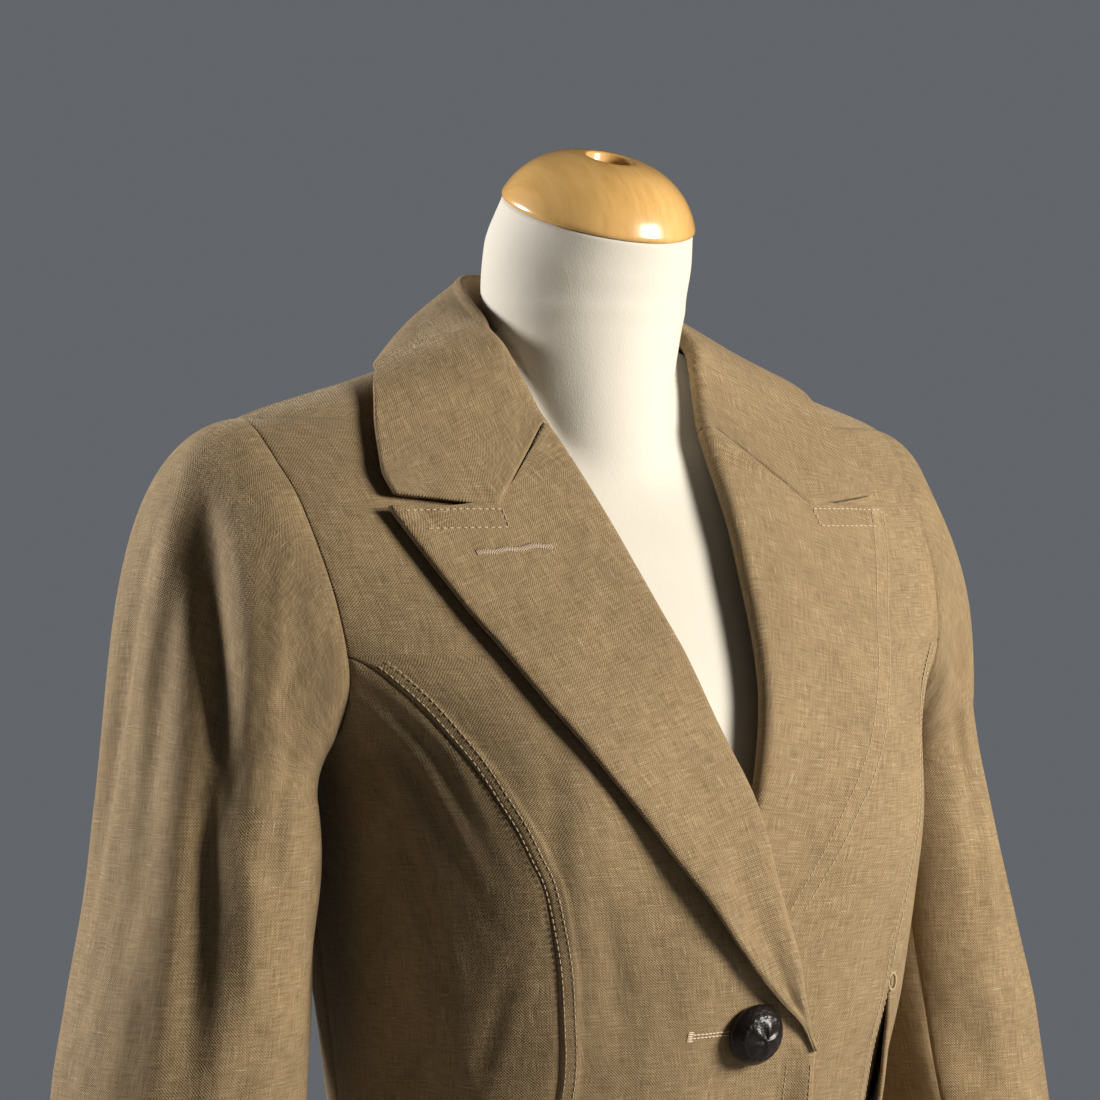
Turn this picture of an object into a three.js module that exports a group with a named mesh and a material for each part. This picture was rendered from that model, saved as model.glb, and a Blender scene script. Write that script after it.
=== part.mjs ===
// A tailored linen blazer worn on a limbless dress form. Millimetres, +Z up, the front faces -Y
// and the wearer's left is +X. Heights in the tables are measured from the side neck point.
import * as THREE from "three";

const SIDE_NECK_HEIGHT = 700;
const BODY_CENTRE_Y = 7;
const CLOTH = 2;
const FACED_CLOTH = 2.8;
const SEAM_GAP = 0.3;
const ROLL_RADIUS = 4;

const HEM_Z = -630;
const ARMPIT_Z = -205;
const SHOULDER_TIP_Z = -41;
const PRINCESS_TOP_Z = -155;
const GORGE_Z = -48;
const BREAK_Z = -350;
const LEFT_BREAK_Z = -300;

// Outer face of the worn cloth, as level slices: half width, depth before and behind the
// centre line, and the squareness of the front and of the back half.
const BODY_COLUMNS = ["z", "width", "front", "back", "frontPower", "backPower"];
const BODY_TABLE = [
  [8, 46, 14, 40, 2.0, 2.0],
  [2, 66, 18, 50, 2.0, 2.0],
  [-8, 96, 21, 57, 2.0, 2.0],
  [-20, 132, 26, 65, 2.0, 2.0],
  [-41, 197, 36, 76, 2.0, 2.0],
  [-60, 226, 51, 84, 2.0, 2.0],
  [-80, 244, 67, 88, 2.1, 2.0],
  [-100, 242, 82, 91, 2.2, 2.0],
  [-120, 238, 95, 93, 2.25, 2.0],
  [-140, 230, 108, 94, 2.2, 2.1],
  [-160, 210, 120, 95, 2.4, 2.1],
  [-180, 188, 129, 94, 2.65, 2.2],
  [-205, 172, 137, 92, 2.9, 2.2],
  [-240, 165, 143, 88, 3.0, 2.2],
  [-280, 160, 146, 82, 2.85, 2.2],
  [-330, 154, 143, 74, 2.8, 2.2],
  [-370, 149, 134, 68, 2.75, 2.2],
  [-405, 145, 127, 66, 2.7, 2.2],
  [-440, 149, 124, 74, 2.6, 2.2],
  [-500, 164, 126, 96, 2.4, 2.3],
  [-560, 179, 132, 112, 2.3, 2.3],
  [-640, 192, 138, 122, 2.3, 2.3],
];

const BUST = { x: 88, z: -238, height: 9, halfWidth: 46, halfHeight: 62 };

// Lines drawn on the cloth: distance from the centre front or back at each height.
const ROLL_LINE = [
  [2, 60], [0, 59.4], [-20, 54.4], [-40, 49.6], [-60, 44.6], [-80, 40.7], [-100, 36.7],
  [-120, 32.2], [-140, 27.7], [-160, 22.7], [-180, 17.9], [-200, 11.8], [-220, 5.8],
  [-240, -1], [-270, -10], [-300, -18.5], [-330, -26], [-350, -30],
];
const ARMHOLE_FRONT = [
  [-41, 197], [-60, 193], [-80, 189], [-100, 186.5], [-120, 184], [-140, 181.4],
  [-155, 179.8], [-175, 176.5], [-190, 174.2], [-205, 172],
];
const ARMHOLE_BACK = [
  [-41, 197], [-60, 194], [-80, 190], [-100, 187], [-120, 184], [-140, 181],
  [-155, 179], [-175, 177], [-190, 175], [-205, 172],
];
const PRINCESS_SEAM = [
  [-155, 179.8], [-160, 171.5], [-170, 160.8], [-180, 151.8], [-194, 141.8], [-208, 133],
  [-225, 124.6], [-238, 118.3], [-251, 113.1], [-263, 108.3], [-279, 104.9], [-305, 100.6],
  [-327, 98.5], [-360, 95.5], [-405, 96], [-440, 100], [-500, 111], [-560, 121], [-640, 130],
];
const LAPEL_EDGE = [
  [-88, 150], [-106, 142], [-120, 135], [-144, 121.5], [-160, 112], [-175, 103],
  [-205, 83.5], [-233, 63.5], [-254, 50], [-271, 35], [-289, 18], [-304, 2],
  [-325, -14], [-340, -25], [-350, -30.6],
];
const NOTCH_CORNER = { x: 88, z: -89 };

const BODY_ROWS = [
  2, -5, -13, -22, -31, -41, -48, -60, -74, -88, -104, -120, -138, -155, -159, -172, -184,
  -196, -201, -205, -220, -237, -255, -273, -291, -307, -321, -334, -350, -378, -405, -437,
  -480, -550, -630,
];
const POCKET_ROWS = { top: -328, bottom: -470 };

function columnsOf(table) {
  const rows = [...table].sort((a, b) => a[0] - b[0]);
  return rows[0].map((_, column) => rows.map((row) => row[column]));
}

// Monotone cubic through the points, so that no bump appears between two rows.
function smoothCurve(xs, ys) {
  const last = xs.length - 1;
  const steps = xs.slice(1).map((x, i) => x - xs[i]);
  const slopes = steps.map((step, i) => (ys[i + 1] - ys[i]) / step);
  const tangents = ys.map((_, i) => {
    if (i === 0) return slopes[0];
    if (i === last) return slopes[last - 1];
    const product = slopes[i - 1] * slopes[i];
    return product <= 0 ? 0 : (2 * product) / (slopes[i - 1] + slopes[i]);
  });
  return (x) => {
    const clamped = Math.min(Math.max(x, xs[0]), xs[last]);
    let i = 0;
    while (i < last - 1 && clamped > xs[i + 1]) i += 1;
    const t = (clamped - xs[i]) / steps[i];
    const t2 = t * t;
    const t3 = t2 * t;
    return (
      ys[i] * (2 * t3 - 3 * t2 + 1) +
      tangents[i] * steps[i] * (t3 - 2 * t2 + t) +
      ys[i + 1] * (3 * t2 - 2 * t3) +
      tangents[i + 1] * steps[i] * (t3 - t2)
    );
  };
}

function curveFrom(table) {
  const [xs, ys] = columnsOf(table);
  return smoothCurve(xs, ys);
}

function smoothStep(from, to, value) {
  const t = Math.min(Math.max((value - from) / (to - from), 0), 1);
  return t * t * (3 - 2 * t);
}

function bell(distance) {
  return Math.exp(-distance * distance);
}

const body = {};
{
  const columns = columnsOf(BODY_TABLE);
  BODY_COLUMNS.forEach((name, i) => {
    body[name] = smoothCurve(columns[0], columns[i]);
  });
}
const rollX = curveFrom(ROLL_LINE);
const armholeFrontX = curveFrom(ARMHOLE_FRONT);
const armholeBackX = curveFrom(ARMHOLE_BACK);
const princessX = curveFrom(PRINCESS_SEAM);
const lapelEdgeX = curveFrom(LAPEL_EDGE);

// angle: 0 at the centre front, a quarter turn at the wearer's left side, a half at the back.
function bodyPoint(angle, z) {
  const s = Math.sin(angle);
  const c = Math.cos(angle);
  const front = c >= 0;
  const power = 2 / (front ? body.frontPower(z) : body.backPower(z));
  const depth = front ? body.front(z) : -body.back(z);
  let x = Math.sign(s) * body.width(z) * Math.abs(s) ** power;
  let y = BODY_CENTRE_Y - depth * Math.abs(c) ** power;
  if (front) {
    const across = (Math.abs(x) - BUST.x) / BUST.halfWidth;
    const up = (z - BUST.z) / BUST.halfHeight;
    const bulge = BUST.height * bell(Math.hypot(across, up)) * smoothStep(0, 0.2, c);
    x += Math.sign(x) * 0.3 * bulge;
    y -= bulge;
  }
  return new THREE.Vector3(x, y, z);
}

// Soft uneven creases of the worn cloth: place and half width in degrees round the body,
// height and half length in millimetres, and depth inwards.
const BODY_FOLDS = [
  { angle: 62, z: -395, tilt: 0.5, width: 9, length: 60, depth: 3.2 },
  { angle: 50, z: -425, tilt: -0.4, width: 8, length: 45, depth: 2.4 },
  { angle: -58, z: -400, tilt: -0.6, width: 9, length: 55, depth: 2.8 },
  { angle: -70, z: -330, tilt: -0.35, width: 7, length: 60, depth: 2.2 },
  { angle: 72, z: -300, tilt: 0.3, width: 8, length: 60, depth: 2 },
  { angle: -25, z: -415, tilt: 0.3, width: 8, length: 40, depth: 1.8 },
  { angle: 128, z: -400, tilt: 0.4, width: 10, length: 50, depth: 3 },
  { angle: -132, z: -410, tilt: -0.5, width: 11, length: 55, depth: 2.7 },
  { angle: 150, z: -375, tilt: -0.3, width: 9, length: 45, depth: 1.9 },
  { angle: -158, z: -170, tilt: 0.3, width: 12, length: 55, depth: 1.8 },
  { angle: 35, z: -560, tilt: 0.1, width: 11, length: 80, depth: 2.6 },
  { angle: -40, z: -550, tilt: -0.1, width: 12, length: 80, depth: 2.4 },
  { angle: 165, z: -560, tilt: 0.1, width: 12, length: 80, depth: 3 },
  { angle: -120, z: -560, tilt: 0.15, width: 12, length: 80, depth: 2.8 },
];

function bodyFoldDepth(angle, z) {
  const degrees = THREE.MathUtils.radToDeg(angle);
  return BODY_FOLDS.reduce((sum, fold) => {
    const across = (degrees - fold.angle - fold.tilt * (z - fold.z) * 0.3) / fold.width;
    const along = (z - fold.z) / fold.length;
    return sum + fold.depth * bell(along) * (bell(across) - 0.45 * bell((across - 1.7) / 1.1));
  }, 0);
}

function bodyNormal(angle, z) {
  const a = 0.004;
  const h = 0.6;
  const around = bodyPoint(angle + a, z).sub(bodyPoint(angle - a, z));
  const up = bodyPoint(angle, z + h).sub(bodyPoint(angle, z - h));
  return around.cross(up).normalize();
}

// angle on a slice of the cloth where it lies a distance x from the centre plane.
function angleAt(x, z, back = false) {
  const power = back ? body.backPower(z) : body.frontPower(z);
  const ratio = Math.min(Math.abs(x) / body.width(z), 1);
  const angle = Math.asin(ratio ** (power / 2));
  return Math.sign(x || 1) * (back ? Math.PI - angle : angle);
}

// Height of the upper front over the lower one near the closure, on the wearer's right front.
const closureLift = curveFrom([
  [-640, 3.6], [-345, 3.6], [-325, 6], [-300, 9.4], [-245, 9], [-190, 0], [10, 0],
]);

// The free edge of the upper front curls outwards under the lapel.
const EDGE_CURL = { z: -382, height: 8, halfLength: 42, start: 12 };
const FRONT_OVERLAP = { right: 38, left: 22 };

function frontLift(side, x, z) {
  if (side > 0) return 0;
  const along = bell((z - EDGE_CURL.z) / EDGE_CURL.halfLength) * smoothStep(-332, -350, z);
  const across = smoothStep(EDGE_CURL.start, FRONT_OVERLAP.right + 2, x) ** 2;
  return closureLift(z) * smoothStep(-80, -24, x) + EDGE_CURL.height * along * across;
}

// A point on the outer face of the worn cloth, moved out by height.
function onCloth(side, angle, z, height) {
  const base = bodyPoint(angle, z);
  const lift = Math.abs(angle) < Math.PI / 2 ? frontLift(side, base.x, z) : 0;
  const out = height + lift - bodyFoldDepth(angle, z) * clothFreedom(z, base.x);
  return base.addScaledVector(bodyNormal(angle, z), out);
}

function clothFreedom(z, x) {
  return 1 - smoothStep(-130, -60, z) * smoothStep(150, 170, Math.abs(x));
}

function onFront(side, x, z, height) {
  return onCloth(side, angleAt(x, z), z, height);
}

// A closed shell from a grid of outer points and the grid of inner points behind it.
function shellGeometry(outer, inner) {
  const rows = outer.length;
  const columns = outer[0].length;
  const positions = [];
  for (const grid of [outer, inner]) {
    for (const row of grid) {
      for (const point of row) positions.push(point.x, point.y, point.z + SIDE_NECK_HEIGHT);
    }
  }
  const id = (layer, row, column) => layer * rows * columns + row * columns + column;
  const index = [];
  const quad = (a, b, c, d) => index.push(a, b, c, a, c, d);
  for (let r = 0; r < rows - 1; r += 1) {
    for (let c = 0; c < columns - 1; c += 1) {
      quad(id(0, r, c), id(0, r + 1, c), id(0, r + 1, c + 1), id(0, r, c + 1));
      quad(id(1, r, c), id(1, r, c + 1), id(1, r + 1, c + 1), id(1, r + 1, c));
    }
  }
  for (let r = 0; r < rows - 1; r += 1) {
    quad(id(0, r, 0), id(1, r, 0), id(1, r + 1, 0), id(0, r + 1, 0));
    const e = columns - 1;
    quad(id(0, r + 1, e), id(1, r + 1, e), id(1, r, e), id(0, r, e));
  }
  for (let c = 0; c < columns - 1; c += 1) {
    quad(id(0, 0, c + 1), id(1, 0, c + 1), id(1, 0, c), id(0, 0, c));
    const e = rows - 1;
    quad(id(0, e, c), id(1, e, c), id(1, e, c + 1), id(0, e, c + 1));
  }
  const geometry = new THREE.BufferGeometry();
  geometry.setAttribute("position", new THREE.Float32BufferAttribute(positions, 3));
  geometry.setIndex(index);
  return facingOut(geometry);
}

function signedVolume(geometry) {
  const p = geometry.attributes.position;
  const index = geometry.index;
  const [a, b, c] = [0, 1, 2].map(() => new THREE.Vector3());
  let volume = 0;
  for (let i = 0; i < index.count; i += 3) {
    a.fromBufferAttribute(p, index.getX(i));
    b.fromBufferAttribute(p, index.getX(i + 1));
    c.fromBufferAttribute(p, index.getX(i + 2));
    volume += a.dot(b.cross(c)) / 6;
  }
  return volume;
}

function facingOut(geometry) {
  if (signedVolume(geometry) < 0) {
    const turned = [];
    const index = geometry.index.array;
    for (let i = 0; i < index.length; i += 3) turned.push(index[i], index[i + 2], index[i + 1]);
    geometry.setIndex(turned);
  }
  geometry.computeVertexNormals();
  return geometry;
}

// Surface grid from a function of row and column, given thickness by its own normals.
function thickGrid(grid, thickness, inwards) {
  const rows = grid.length;
  const columns = grid[0].length;
  return grid.map((row, r) =>
    row.map((point, c) => {
      const along = grid[Math.min(r + 1, rows - 1)][c].clone().sub(grid[Math.max(r - 1, 0)][c]);
      const across = row[Math.min(c + 1, columns - 1)].clone().sub(row[Math.max(c - 1, 0)]);
      const normal = along.cross(across).normalize();
      return point.clone().addScaledVector(normal, inwards * thickness);
    }),
  );
}

// Body panel between two side lines, each given as an angle at every row.
function bodyPanel(side, rows, columns, startAngle, endAngle, lift = () => 0) {
  const layer = (height) =>
    rows.map((z, r) => {
      const inset = SEAM_GAP / 2 / body.width(z);
      const from = startAngle(z, r) + inset;
      const to = endAngle(z, r) - inset;
      return Array.from({ length: columns + 1 }, (_, c) => {
        const angle = from + ((to - from) * c) / columns;
        return onCloth(side, side * angle, z, height + lift(z, c / columns));
      });
    });
  return shellGeometry(layer(0), layer(-CLOTH));
}

// The lower lapel is pressed flatter where the upper front covers it.
function rollRadius(side, z) {
  return side > 0 ? ROLL_RADIUS - 1.6 * smoothStep(-215, -240, z) : ROLL_RADIUS;
}

function frontEdgeAngle(side, z) {
  const breakZ = side < 0 ? BREAK_Z : LEFT_BREAK_Z;
  const gap = z > GORGE_Z ? 2 * SEAM_GAP : SEAM_GAP;
  if (z > breakZ) return angleAt(rollX(z) + rollRadius(side, z) + gap, z);
  const overlap = -(side < 0 ? FRONT_OVERLAP.right : FRONT_OVERLAP.left);
  const roundedHem = 34 * smoothStep(-560, HEM_Z, z) ** 2;
  return angleAt(overlap + roundedHem, z);
}

function pocketGap(side, z) {
  if (side < 0) return 0;
  const { top, bottom } = POCKET_ROWS;
  const t = (z - bottom) / (top - bottom);
  return t <= 0 || t >= 1 ? 0 : 7 * Math.sin(Math.PI * t) ** 0.7;
}

function frontOuterAngle(side, z) {
  if (z >= SHOULDER_TIP_Z) return Math.PI / 2;
  if (z >= PRINCESS_TOP_Z) return angleAt(armholeFrontX(z), z);
  return angleAt(princessX(z), z) - pocketGap(side, z) / 2 / body.width(z);
}

function frontPanel(side) {
  return bodyPanel(
    side,
    BODY_ROWS,
    10,
    (z) => frontEdgeAngle(side, z),
    (z) => frontOuterAngle(side, z),
  );
}

function sidePanel(side) {
  const rows = [PRINCESS_TOP_Z - 1, ...BODY_ROWS.filter((z) => z <= PRINCESS_TOP_Z - 4)];
  return bodyPanel(
    side,
    rows,
    7,
    (z) => angleAt(princessX(z), z) + pocketGap(side, z) / 2 / body.width(z),
    (z) => (z >= ARMPIT_Z ? angleAt(armholeFrontX(z), z) : Math.PI / 2),
    (z, across) => pocketGap(side, z) * bell(8 * across),
  );
}

function backPanel(side) {
  return bodyPanel(
    side,
    BODY_ROWS,
    9,
    (z) => {
      if (z >= SHOULDER_TIP_Z || z <= ARMPIT_Z) return Math.PI / 2;
      return angleAt(armholeBackX(z), z, true);
    },
    () => Math.PI,
  );
}

// Cross line of a lapel: round the roll, then across the front to the free edge.
const ROLL_STEPS = [-90, -45, 0, 45, 90];
const LAPEL_STEPS = [0.1, 0.24, 0.4, 0.56, 0.72, 0.87, 1];
const LAPEL_TOP_Z = -88;

function rollPoints(side, z, height) {
  const radius = rollRadius(side, z);
  return ROLL_STEPS.map((degrees) => {
    const turn = THREE.MathUtils.degToRad(degrees);
    const x = rollX(z) + radius - (radius + height) * Math.cos(turn);
    const out = radius - CLOTH / 2 + (radius + height) * Math.sin(turn);
    return onFront(side, side * x, z, out);
  });
}

// Broken line from the roll to an outer point, with a corner part of the way along.
function bentLine(start, corner, end, u) {
  const bend = (corner.x - start.x) / (end.x - start.x);
  if (u < bend) {
    const t = u / bend;
    return { x: start.x + (corner.x - start.x) * t, z: start.z + (corner.z - start.z) * t };
  }
  const t = (u - bend) / (1 - bend);
  return { x: corner.x + (end.x - corner.x) * t, z: corner.z + (end.z - corner.z) * t };
}

function lapelRow(side, rollZ, breakZ, height) {
  const t = (GORGE_Z - rollZ) / (GORGE_Z - breakZ);
  const radius = rollRadius(side, rollZ);
  const start = { x: rollX(rollZ) + radius, z: rollZ };
  const edgeZ = LAPEL_TOP_Z + (breakZ - LAPEL_TOP_Z) * t ** 1.06;
  const end = { x: Math.max(lapelEdgeX(edgeZ), start.x + 1), z: edgeZ };
  const kink = Math.max(0, 1 - t * 5) ** 2;
  const bend = (NOTCH_CORNER.x - start.x) / (end.x - start.x);
  const straight = start.z + (end.z - start.z) * bend;
  const corner = { x: NOTCH_CORNER.x, z: straight + (NOTCH_CORNER.z - straight) * kink };
  const top = 2 * radius - CLOTH / 2;
  const across = LAPEL_STEPS.map((u) => {
    const at = bentLine(start, corner, end, u);
    const x = kink > 0 ? at.x : start.x + (end.x - start.x) * u;
    const z = kink > 0 ? at.z : start.z + (end.z - start.z) * u;
    const settled = top - Math.min(2.2, top - 3.6) * smoothStep(0, 0.5, u);
    return onFront(side, side * x, z, settled + height);
  });
  return [...rollPoints(side, rollZ, height), ...across];
}

function lapel(side) {
  const breakZ = side < 0 ? BREAK_Z : LEFT_BREAK_Z;
  const rows = BODY_ROWS.filter((z) => z <= GORGE_Z && z >= breakZ + 8);
  const layer = (height) => rows.map((z) => lapelRow(side, z, breakZ, height));
  return shellGeometry(layer(FACED_CLOTH / 2), layer(-FACED_CLOTH / 2));
}

// Collar behind the shoulders: base angle on the neckline, the crest of the fold and the
// free edge, from the top of the front to the centre back.
const COLLAR_COLUMNS = ["baseAngle", "crestX", "crestY", "crestZ", "edgeAngle", "edgeZ"];
const COLLAR_TABLE = [
  [84, 62, 5, 14, 86, -16],
  [100, 60.5, 18, 22, 97, -16],
  [118, 56, 33, 30, 112, -17],
  [136, 46, 49, 37, 131, -20],
  [158, 26, 62, 40, 155, -26],
  [180, 0, 66.5, 41, 180, -29],
];
const COLLAR_EDGE_FRONT = [
  [0, 145, -82], [0.3, 147, -73], [0.6, 143, -56], [0.8, 138.5, -40], [1, 131, -25],
];
const COLLAR_FALL_STEPS = [0.13, 0.3, 0.48, 0.66, 0.84, 1];
const COLLAR_STANDOFF = 5;

function collarFrontProfile(side, z) {
  const t = (z - GORGE_Z) / (BODY_ROWS[0] - GORGE_Z);
  const [ts, xs, zs] = columnsOf(COLLAR_EDGE_FRONT);
  const end = { x: smoothCurve(ts, xs)(t), z: smoothCurve(ts, zs)(t) };
  const start = { x: rollX(z) + ROLL_RADIUS, z };
  const kink = Math.max(0, 1 - t * 2.4) ** 2;
  const bend = (NOTCH_CORNER.x - start.x) / (end.x - start.x);
  const straight = start.z + (end.z - start.z) * bend;
  const corner = { x: NOTCH_CORNER.x, z: straight + (NOTCH_CORNER.z - straight) * kink };
  const seam = t === 0 ? { x: 0.6, z: 0.9 } : { x: 0, z: 0 };
  const top = 2 * ROLL_RADIUS - CLOTH / 2;
  const fall = COLLAR_FALL_STEPS.map((u) => {
    const at = bentLine(start, corner, end, u);
    const height = top + (COLLAR_STANDOFF - top) * smoothStep(0, 0.6, u);
    return onFront(side, side * (at.x + seam.x), at.z + seam.z, height);
  });
  const roll = rollPoints(side, z, 0).map((point) => point.setZ(point.z + seam.z));
  return [...roll, ...fall];
}

function collarBackProfile(side, row) {
  const value = Object.fromEntries(COLLAR_COLUMNS.map((name, i) => [name, row[i]]));
  const radians = THREE.MathUtils.degToRad;
  const neckZ = BODY_ROWS[0];
  const base = bodyPoint(radians(value.baseAngle), neckZ);
  const upCloth = bodyPoint(radians(value.baseAngle), neckZ + 3).sub(base).normalize();
  base.addScaledVector(bodyNormal(radians(value.baseAngle), neckZ), -CLOTH / 2);
  base.addScaledVector(upCloth, 1.7);
  const crest = new THREE.Vector3(value.crestX, value.crestY, value.crestZ);
  const edgeAngle = radians(value.edgeAngle);
  const edge = bodyPoint(edgeAngle, value.edgeZ);
  edge.addScaledVector(bodyNormal(edgeAngle, value.edgeZ), COLLAR_STANDOFF);
  const out = edge.clone().sub(crest).setZ(0).normalize();
  const inner = crest.clone().addScaledVector(out, -3.6).setZ(crest.z - 5);
  const outer = crest.clone().addScaledVector(out, 4).setZ(crest.z - 3.4);
  const low = base.clone().lerp(inner, 0.4).addScaledVector(out, -0.6);
  const roll = [base, low, inner, crest, outer];
  const fall = COLLAR_FALL_STEPS.map((u) => {
    const bow = 3 * Math.sin(Math.PI * u);
    return outer.clone().lerp(edge, u).addScaledVector(out, bow).setZ(
      outer.z + (edge.z - outer.z) * u + bow * 0.6,
    );
  });
  const points = [...roll, ...fall];
  points.forEach((point) => {
    point.x *= side;
  });
  return points;
}

function collar() {
  const frontRows = BODY_ROWS.filter((z) => z >= GORGE_Z).reverse();
  const half = (side) => [
    ...frontRows.map((z) => collarFrontProfile(side, z)),
    ...COLLAR_TABLE.map((row) => collarBackProfile(side, row)),
  ];
  const right = half(-1);
  const left = half(1).slice(0, -1).reverse();
  const middle = [...right, ...left];
  const outer = thickGrid(middle, FACED_CLOTH / 2, 1);
  const inner = thickGrid(middle, FACED_CLOTH / 2, -1);
  return shellGeometry(outer, inner);
}

// Sleeve as level slices: extent at the body side, outside, front and back.
const SLEEVE_COLUMNS = ["z", "inside", "outside", "front", "back"];
const SLEEVE_TABLE = [
  [-225, 177, 261, -53, 88],
  [-273, 171, 270.5, -58, 83],
  [-320, 173, 283, -60, 76],
  [-370, 179, 295, -62, 66],
  [-440, 192, 299, -64, 50],
  [-520, 207, 300, -66, 32],
  [-585, 217, 301, -68, 18],
  [-620, 221, 302, -70, 12],
];
const sleeve = {};
{
  const columns = columnsOf(SLEEVE_TABLE);
  SLEEVE_COLUMNS.forEach((name, i) => {
    sleeve[name] = smoothCurve(columns[0], columns[i]);
  });
}
const ARMHOLE_MIDDLE_Z = (SHOULDER_TIP_Z + ARMPIT_Z) / 2;
const ARMHOLE_HALF = (SHOULDER_TIP_Z - ARMPIT_Z) / 2;
const SLEEVE_HEAD_STEPS = [0, 0.09, 0.22, 0.38, 0.56, 0.77, 1];
const SLEEVE_RINGS = [-248, -272, -298, -326, -358, -392, -428, -470, -518, -570, -620];
const SLEEVE_SEAM_Z = -184;

// Troughs and ridges down the sleeve: angle from the outside towards the front, in degrees.
const SLEEVE_FOLDS = [
  { angle: 50, z: -142, drift: -0.3, width: 11, length: 80, depth: 11 },
  { angle: 60, z: -268, drift: -0.05, width: 11, length: 75, depth: 9 },
  { angle: 94, z: -262, drift: -0.04, width: 17, length: 48, depth: -3 },
  { angle: 128, z: -228, drift: 0, width: 24, length: 50, depth: -11 },
  { angle: 20, z: -240, drift: 0.03, width: 12, length: 100, depth: 2.4 },
  { angle: -38, z: -170, drift: -0.02, width: 13, length: 90, depth: 4 },
  { angle: -80, z: -300, drift: 0.03, width: 13, length: 80, depth: 3.6 },
  { angle: 110, z: -390, drift: 0.1, width: 18, length: 26, depth: 4 },
  { angle: 122, z: -430, drift: -0.1, width: 20, length: 22, depth: 3.5 },
  { angle: 10, z: -420, drift: 0.05, width: 16, length: 50, depth: 2.6 },
];

function sleeveFoldDepth(phi, z) {
  const degrees = THREE.MathUtils.radToDeg(phi);
  return SLEEVE_FOLDS.reduce((sum, fold) => {
    const across = (degrees - fold.angle - fold.drift * (z - fold.z)) / fold.width;
    const along = (z - fold.z) / fold.length;
    return sum + fold.depth * bell(along) * (bell(across) - 0.4 * bell((across - 1.8) / 1.1));
  }, 0);
}

// The left arm hangs a little slimmer than the right one.
const leftArmTuck = curveFrom([
  [-225, 11], [-273, 10.5], [-320, 11], [-370, 12], [-440, 10], [-520, 7], [-620, 3],
]);

function sleeveRing(side, phi, z) {
  const c = Math.cos(phi);
  const s = Math.sin(phi);
  const outside = sleeve.outside(z) - (side > 0 ? leftArmTuck(z) : 0);
  const middleX = sleeve.inside(z) * 0.52 + outside * 0.48;
  const middleY = (sleeve.front(z) + sleeve.back(z)) / 2;
  const reachX = c > 0 ? outside - middleX : middleX - sleeve.inside(z);
  const reachY = (sleeve.back(z) - sleeve.front(z)) / 2;
  const power = 2 / 2.15;
  return new THREE.Vector3(
    middleX + Math.sign(c) * reachX * Math.abs(c) ** power,
    middleY - Math.sign(s) * reachY * Math.abs(s) ** power,
    z,
  );
}

function armholePoint(phi) {
  const z = ARMHOLE_MIDDLE_Z + ARMHOLE_HALF * Math.cos(phi);
  const back = Math.sin(phi) < 0;
  const x = back ? armholeBackX(z) : armholeFrontX(z);
  const atEnd = Math.abs(Math.cos(phi)) > 0.99999;
  return bodyPoint(atEnd ? Math.PI / 2 : angleAt(x, z, back), z);
}

// phi: 0 on the outside of the arm, a quarter turn at its front; down: 0 at the armhole.
function sleevePoint(side, phi, down) {
  const headEnd = SLEEVE_TABLE[0][0];
  if (down >= 1) {
    const z = headEnd + (HEM_Z + 10 - headEnd) * (down - 1);
    const point = sleeveRing(side, phi, z);
    return creased(point, phi, 1);
  }
  const start = armholePoint(phi);
  const end = sleeveRing(side, phi, headEnd);
  const outside = (1 + Math.cos(phi)) / 2;
  const rise = side < 0 ? -0.03 : -0.2;
  const leave = new THREE.Vector3(
    outside + 0.42 * (1 - outside),
    -0.3 * Math.sin(phi),
    rise * outside - (1 - outside),
  ).normalize();
  const next = sleeveRing(side, phi, headEnd - 8).sub(end).normalize();
  const reach = start.distanceTo(end);
  start.addScaledVector(leave, 0.4);
  const a = start.clone().addScaledVector(leave, reach * (0.14 + 0.16 * outside));
  const b = end.clone().addScaledVector(next, -reach * 0.36);
  const point = new THREE.CubicBezierCurve3(start, a, b, end).getPoint(down);
  return creased(point, phi, smoothStep(0.05, 0.5, down));
}

function creased(point, phi, amount) {
  const depth = sleeveFoldDepth(phi, point.z) * amount;
  point.x -= depth * Math.cos(phi);
  point.y += depth * Math.sin(phi);
  return point;
}

function sleeveNormal(side, phi, down) {
  const a = 0.01;
  const d = 0.004;
  const around = sleevePoint(side, phi + a, down).sub(sleevePoint(side, phi - a, down));
  const top = Math.max(down - d, 0);
  const along = sleevePoint(side, phi, down + d).sub(sleevePoint(side, phi, top));
  return around.cross(along).normalize();
}

function sleevePiece(side, phis, inset) {
  const headEnd = SLEEVE_TABLE[0][0];
  const rings = SLEEVE_RINGS.map((z) => 1 + (z - headEnd) / (HEM_Z + 10 - headEnd));
  const downs = [...SLEEVE_HEAD_STEPS, ...rings];
  const layer = (height) =>
    downs.map((down) =>
      phis.map((phi, i) => {
        const shift = i === 0 ? inset : i === phis.length - 1 ? -inset : 0;
        const point = sleevePoint(side, phi + shift, down);
        point.addScaledVector(sleeveNormal(side, phi + shift, down), height);
        point.x *= side;
        return point;
      }),
    );
  return shellGeometry(layer(0), layer(-CLOTH));
}

function sleeveAngles(from, to) {
  return BODY_ROWS.filter((z) => z <= from && z >= to).map((z) =>
    Math.acos(Math.min(Math.max((z - ARMHOLE_MIDDLE_Z) / ARMHOLE_HALF, -1), 1)),
  );
}

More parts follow.
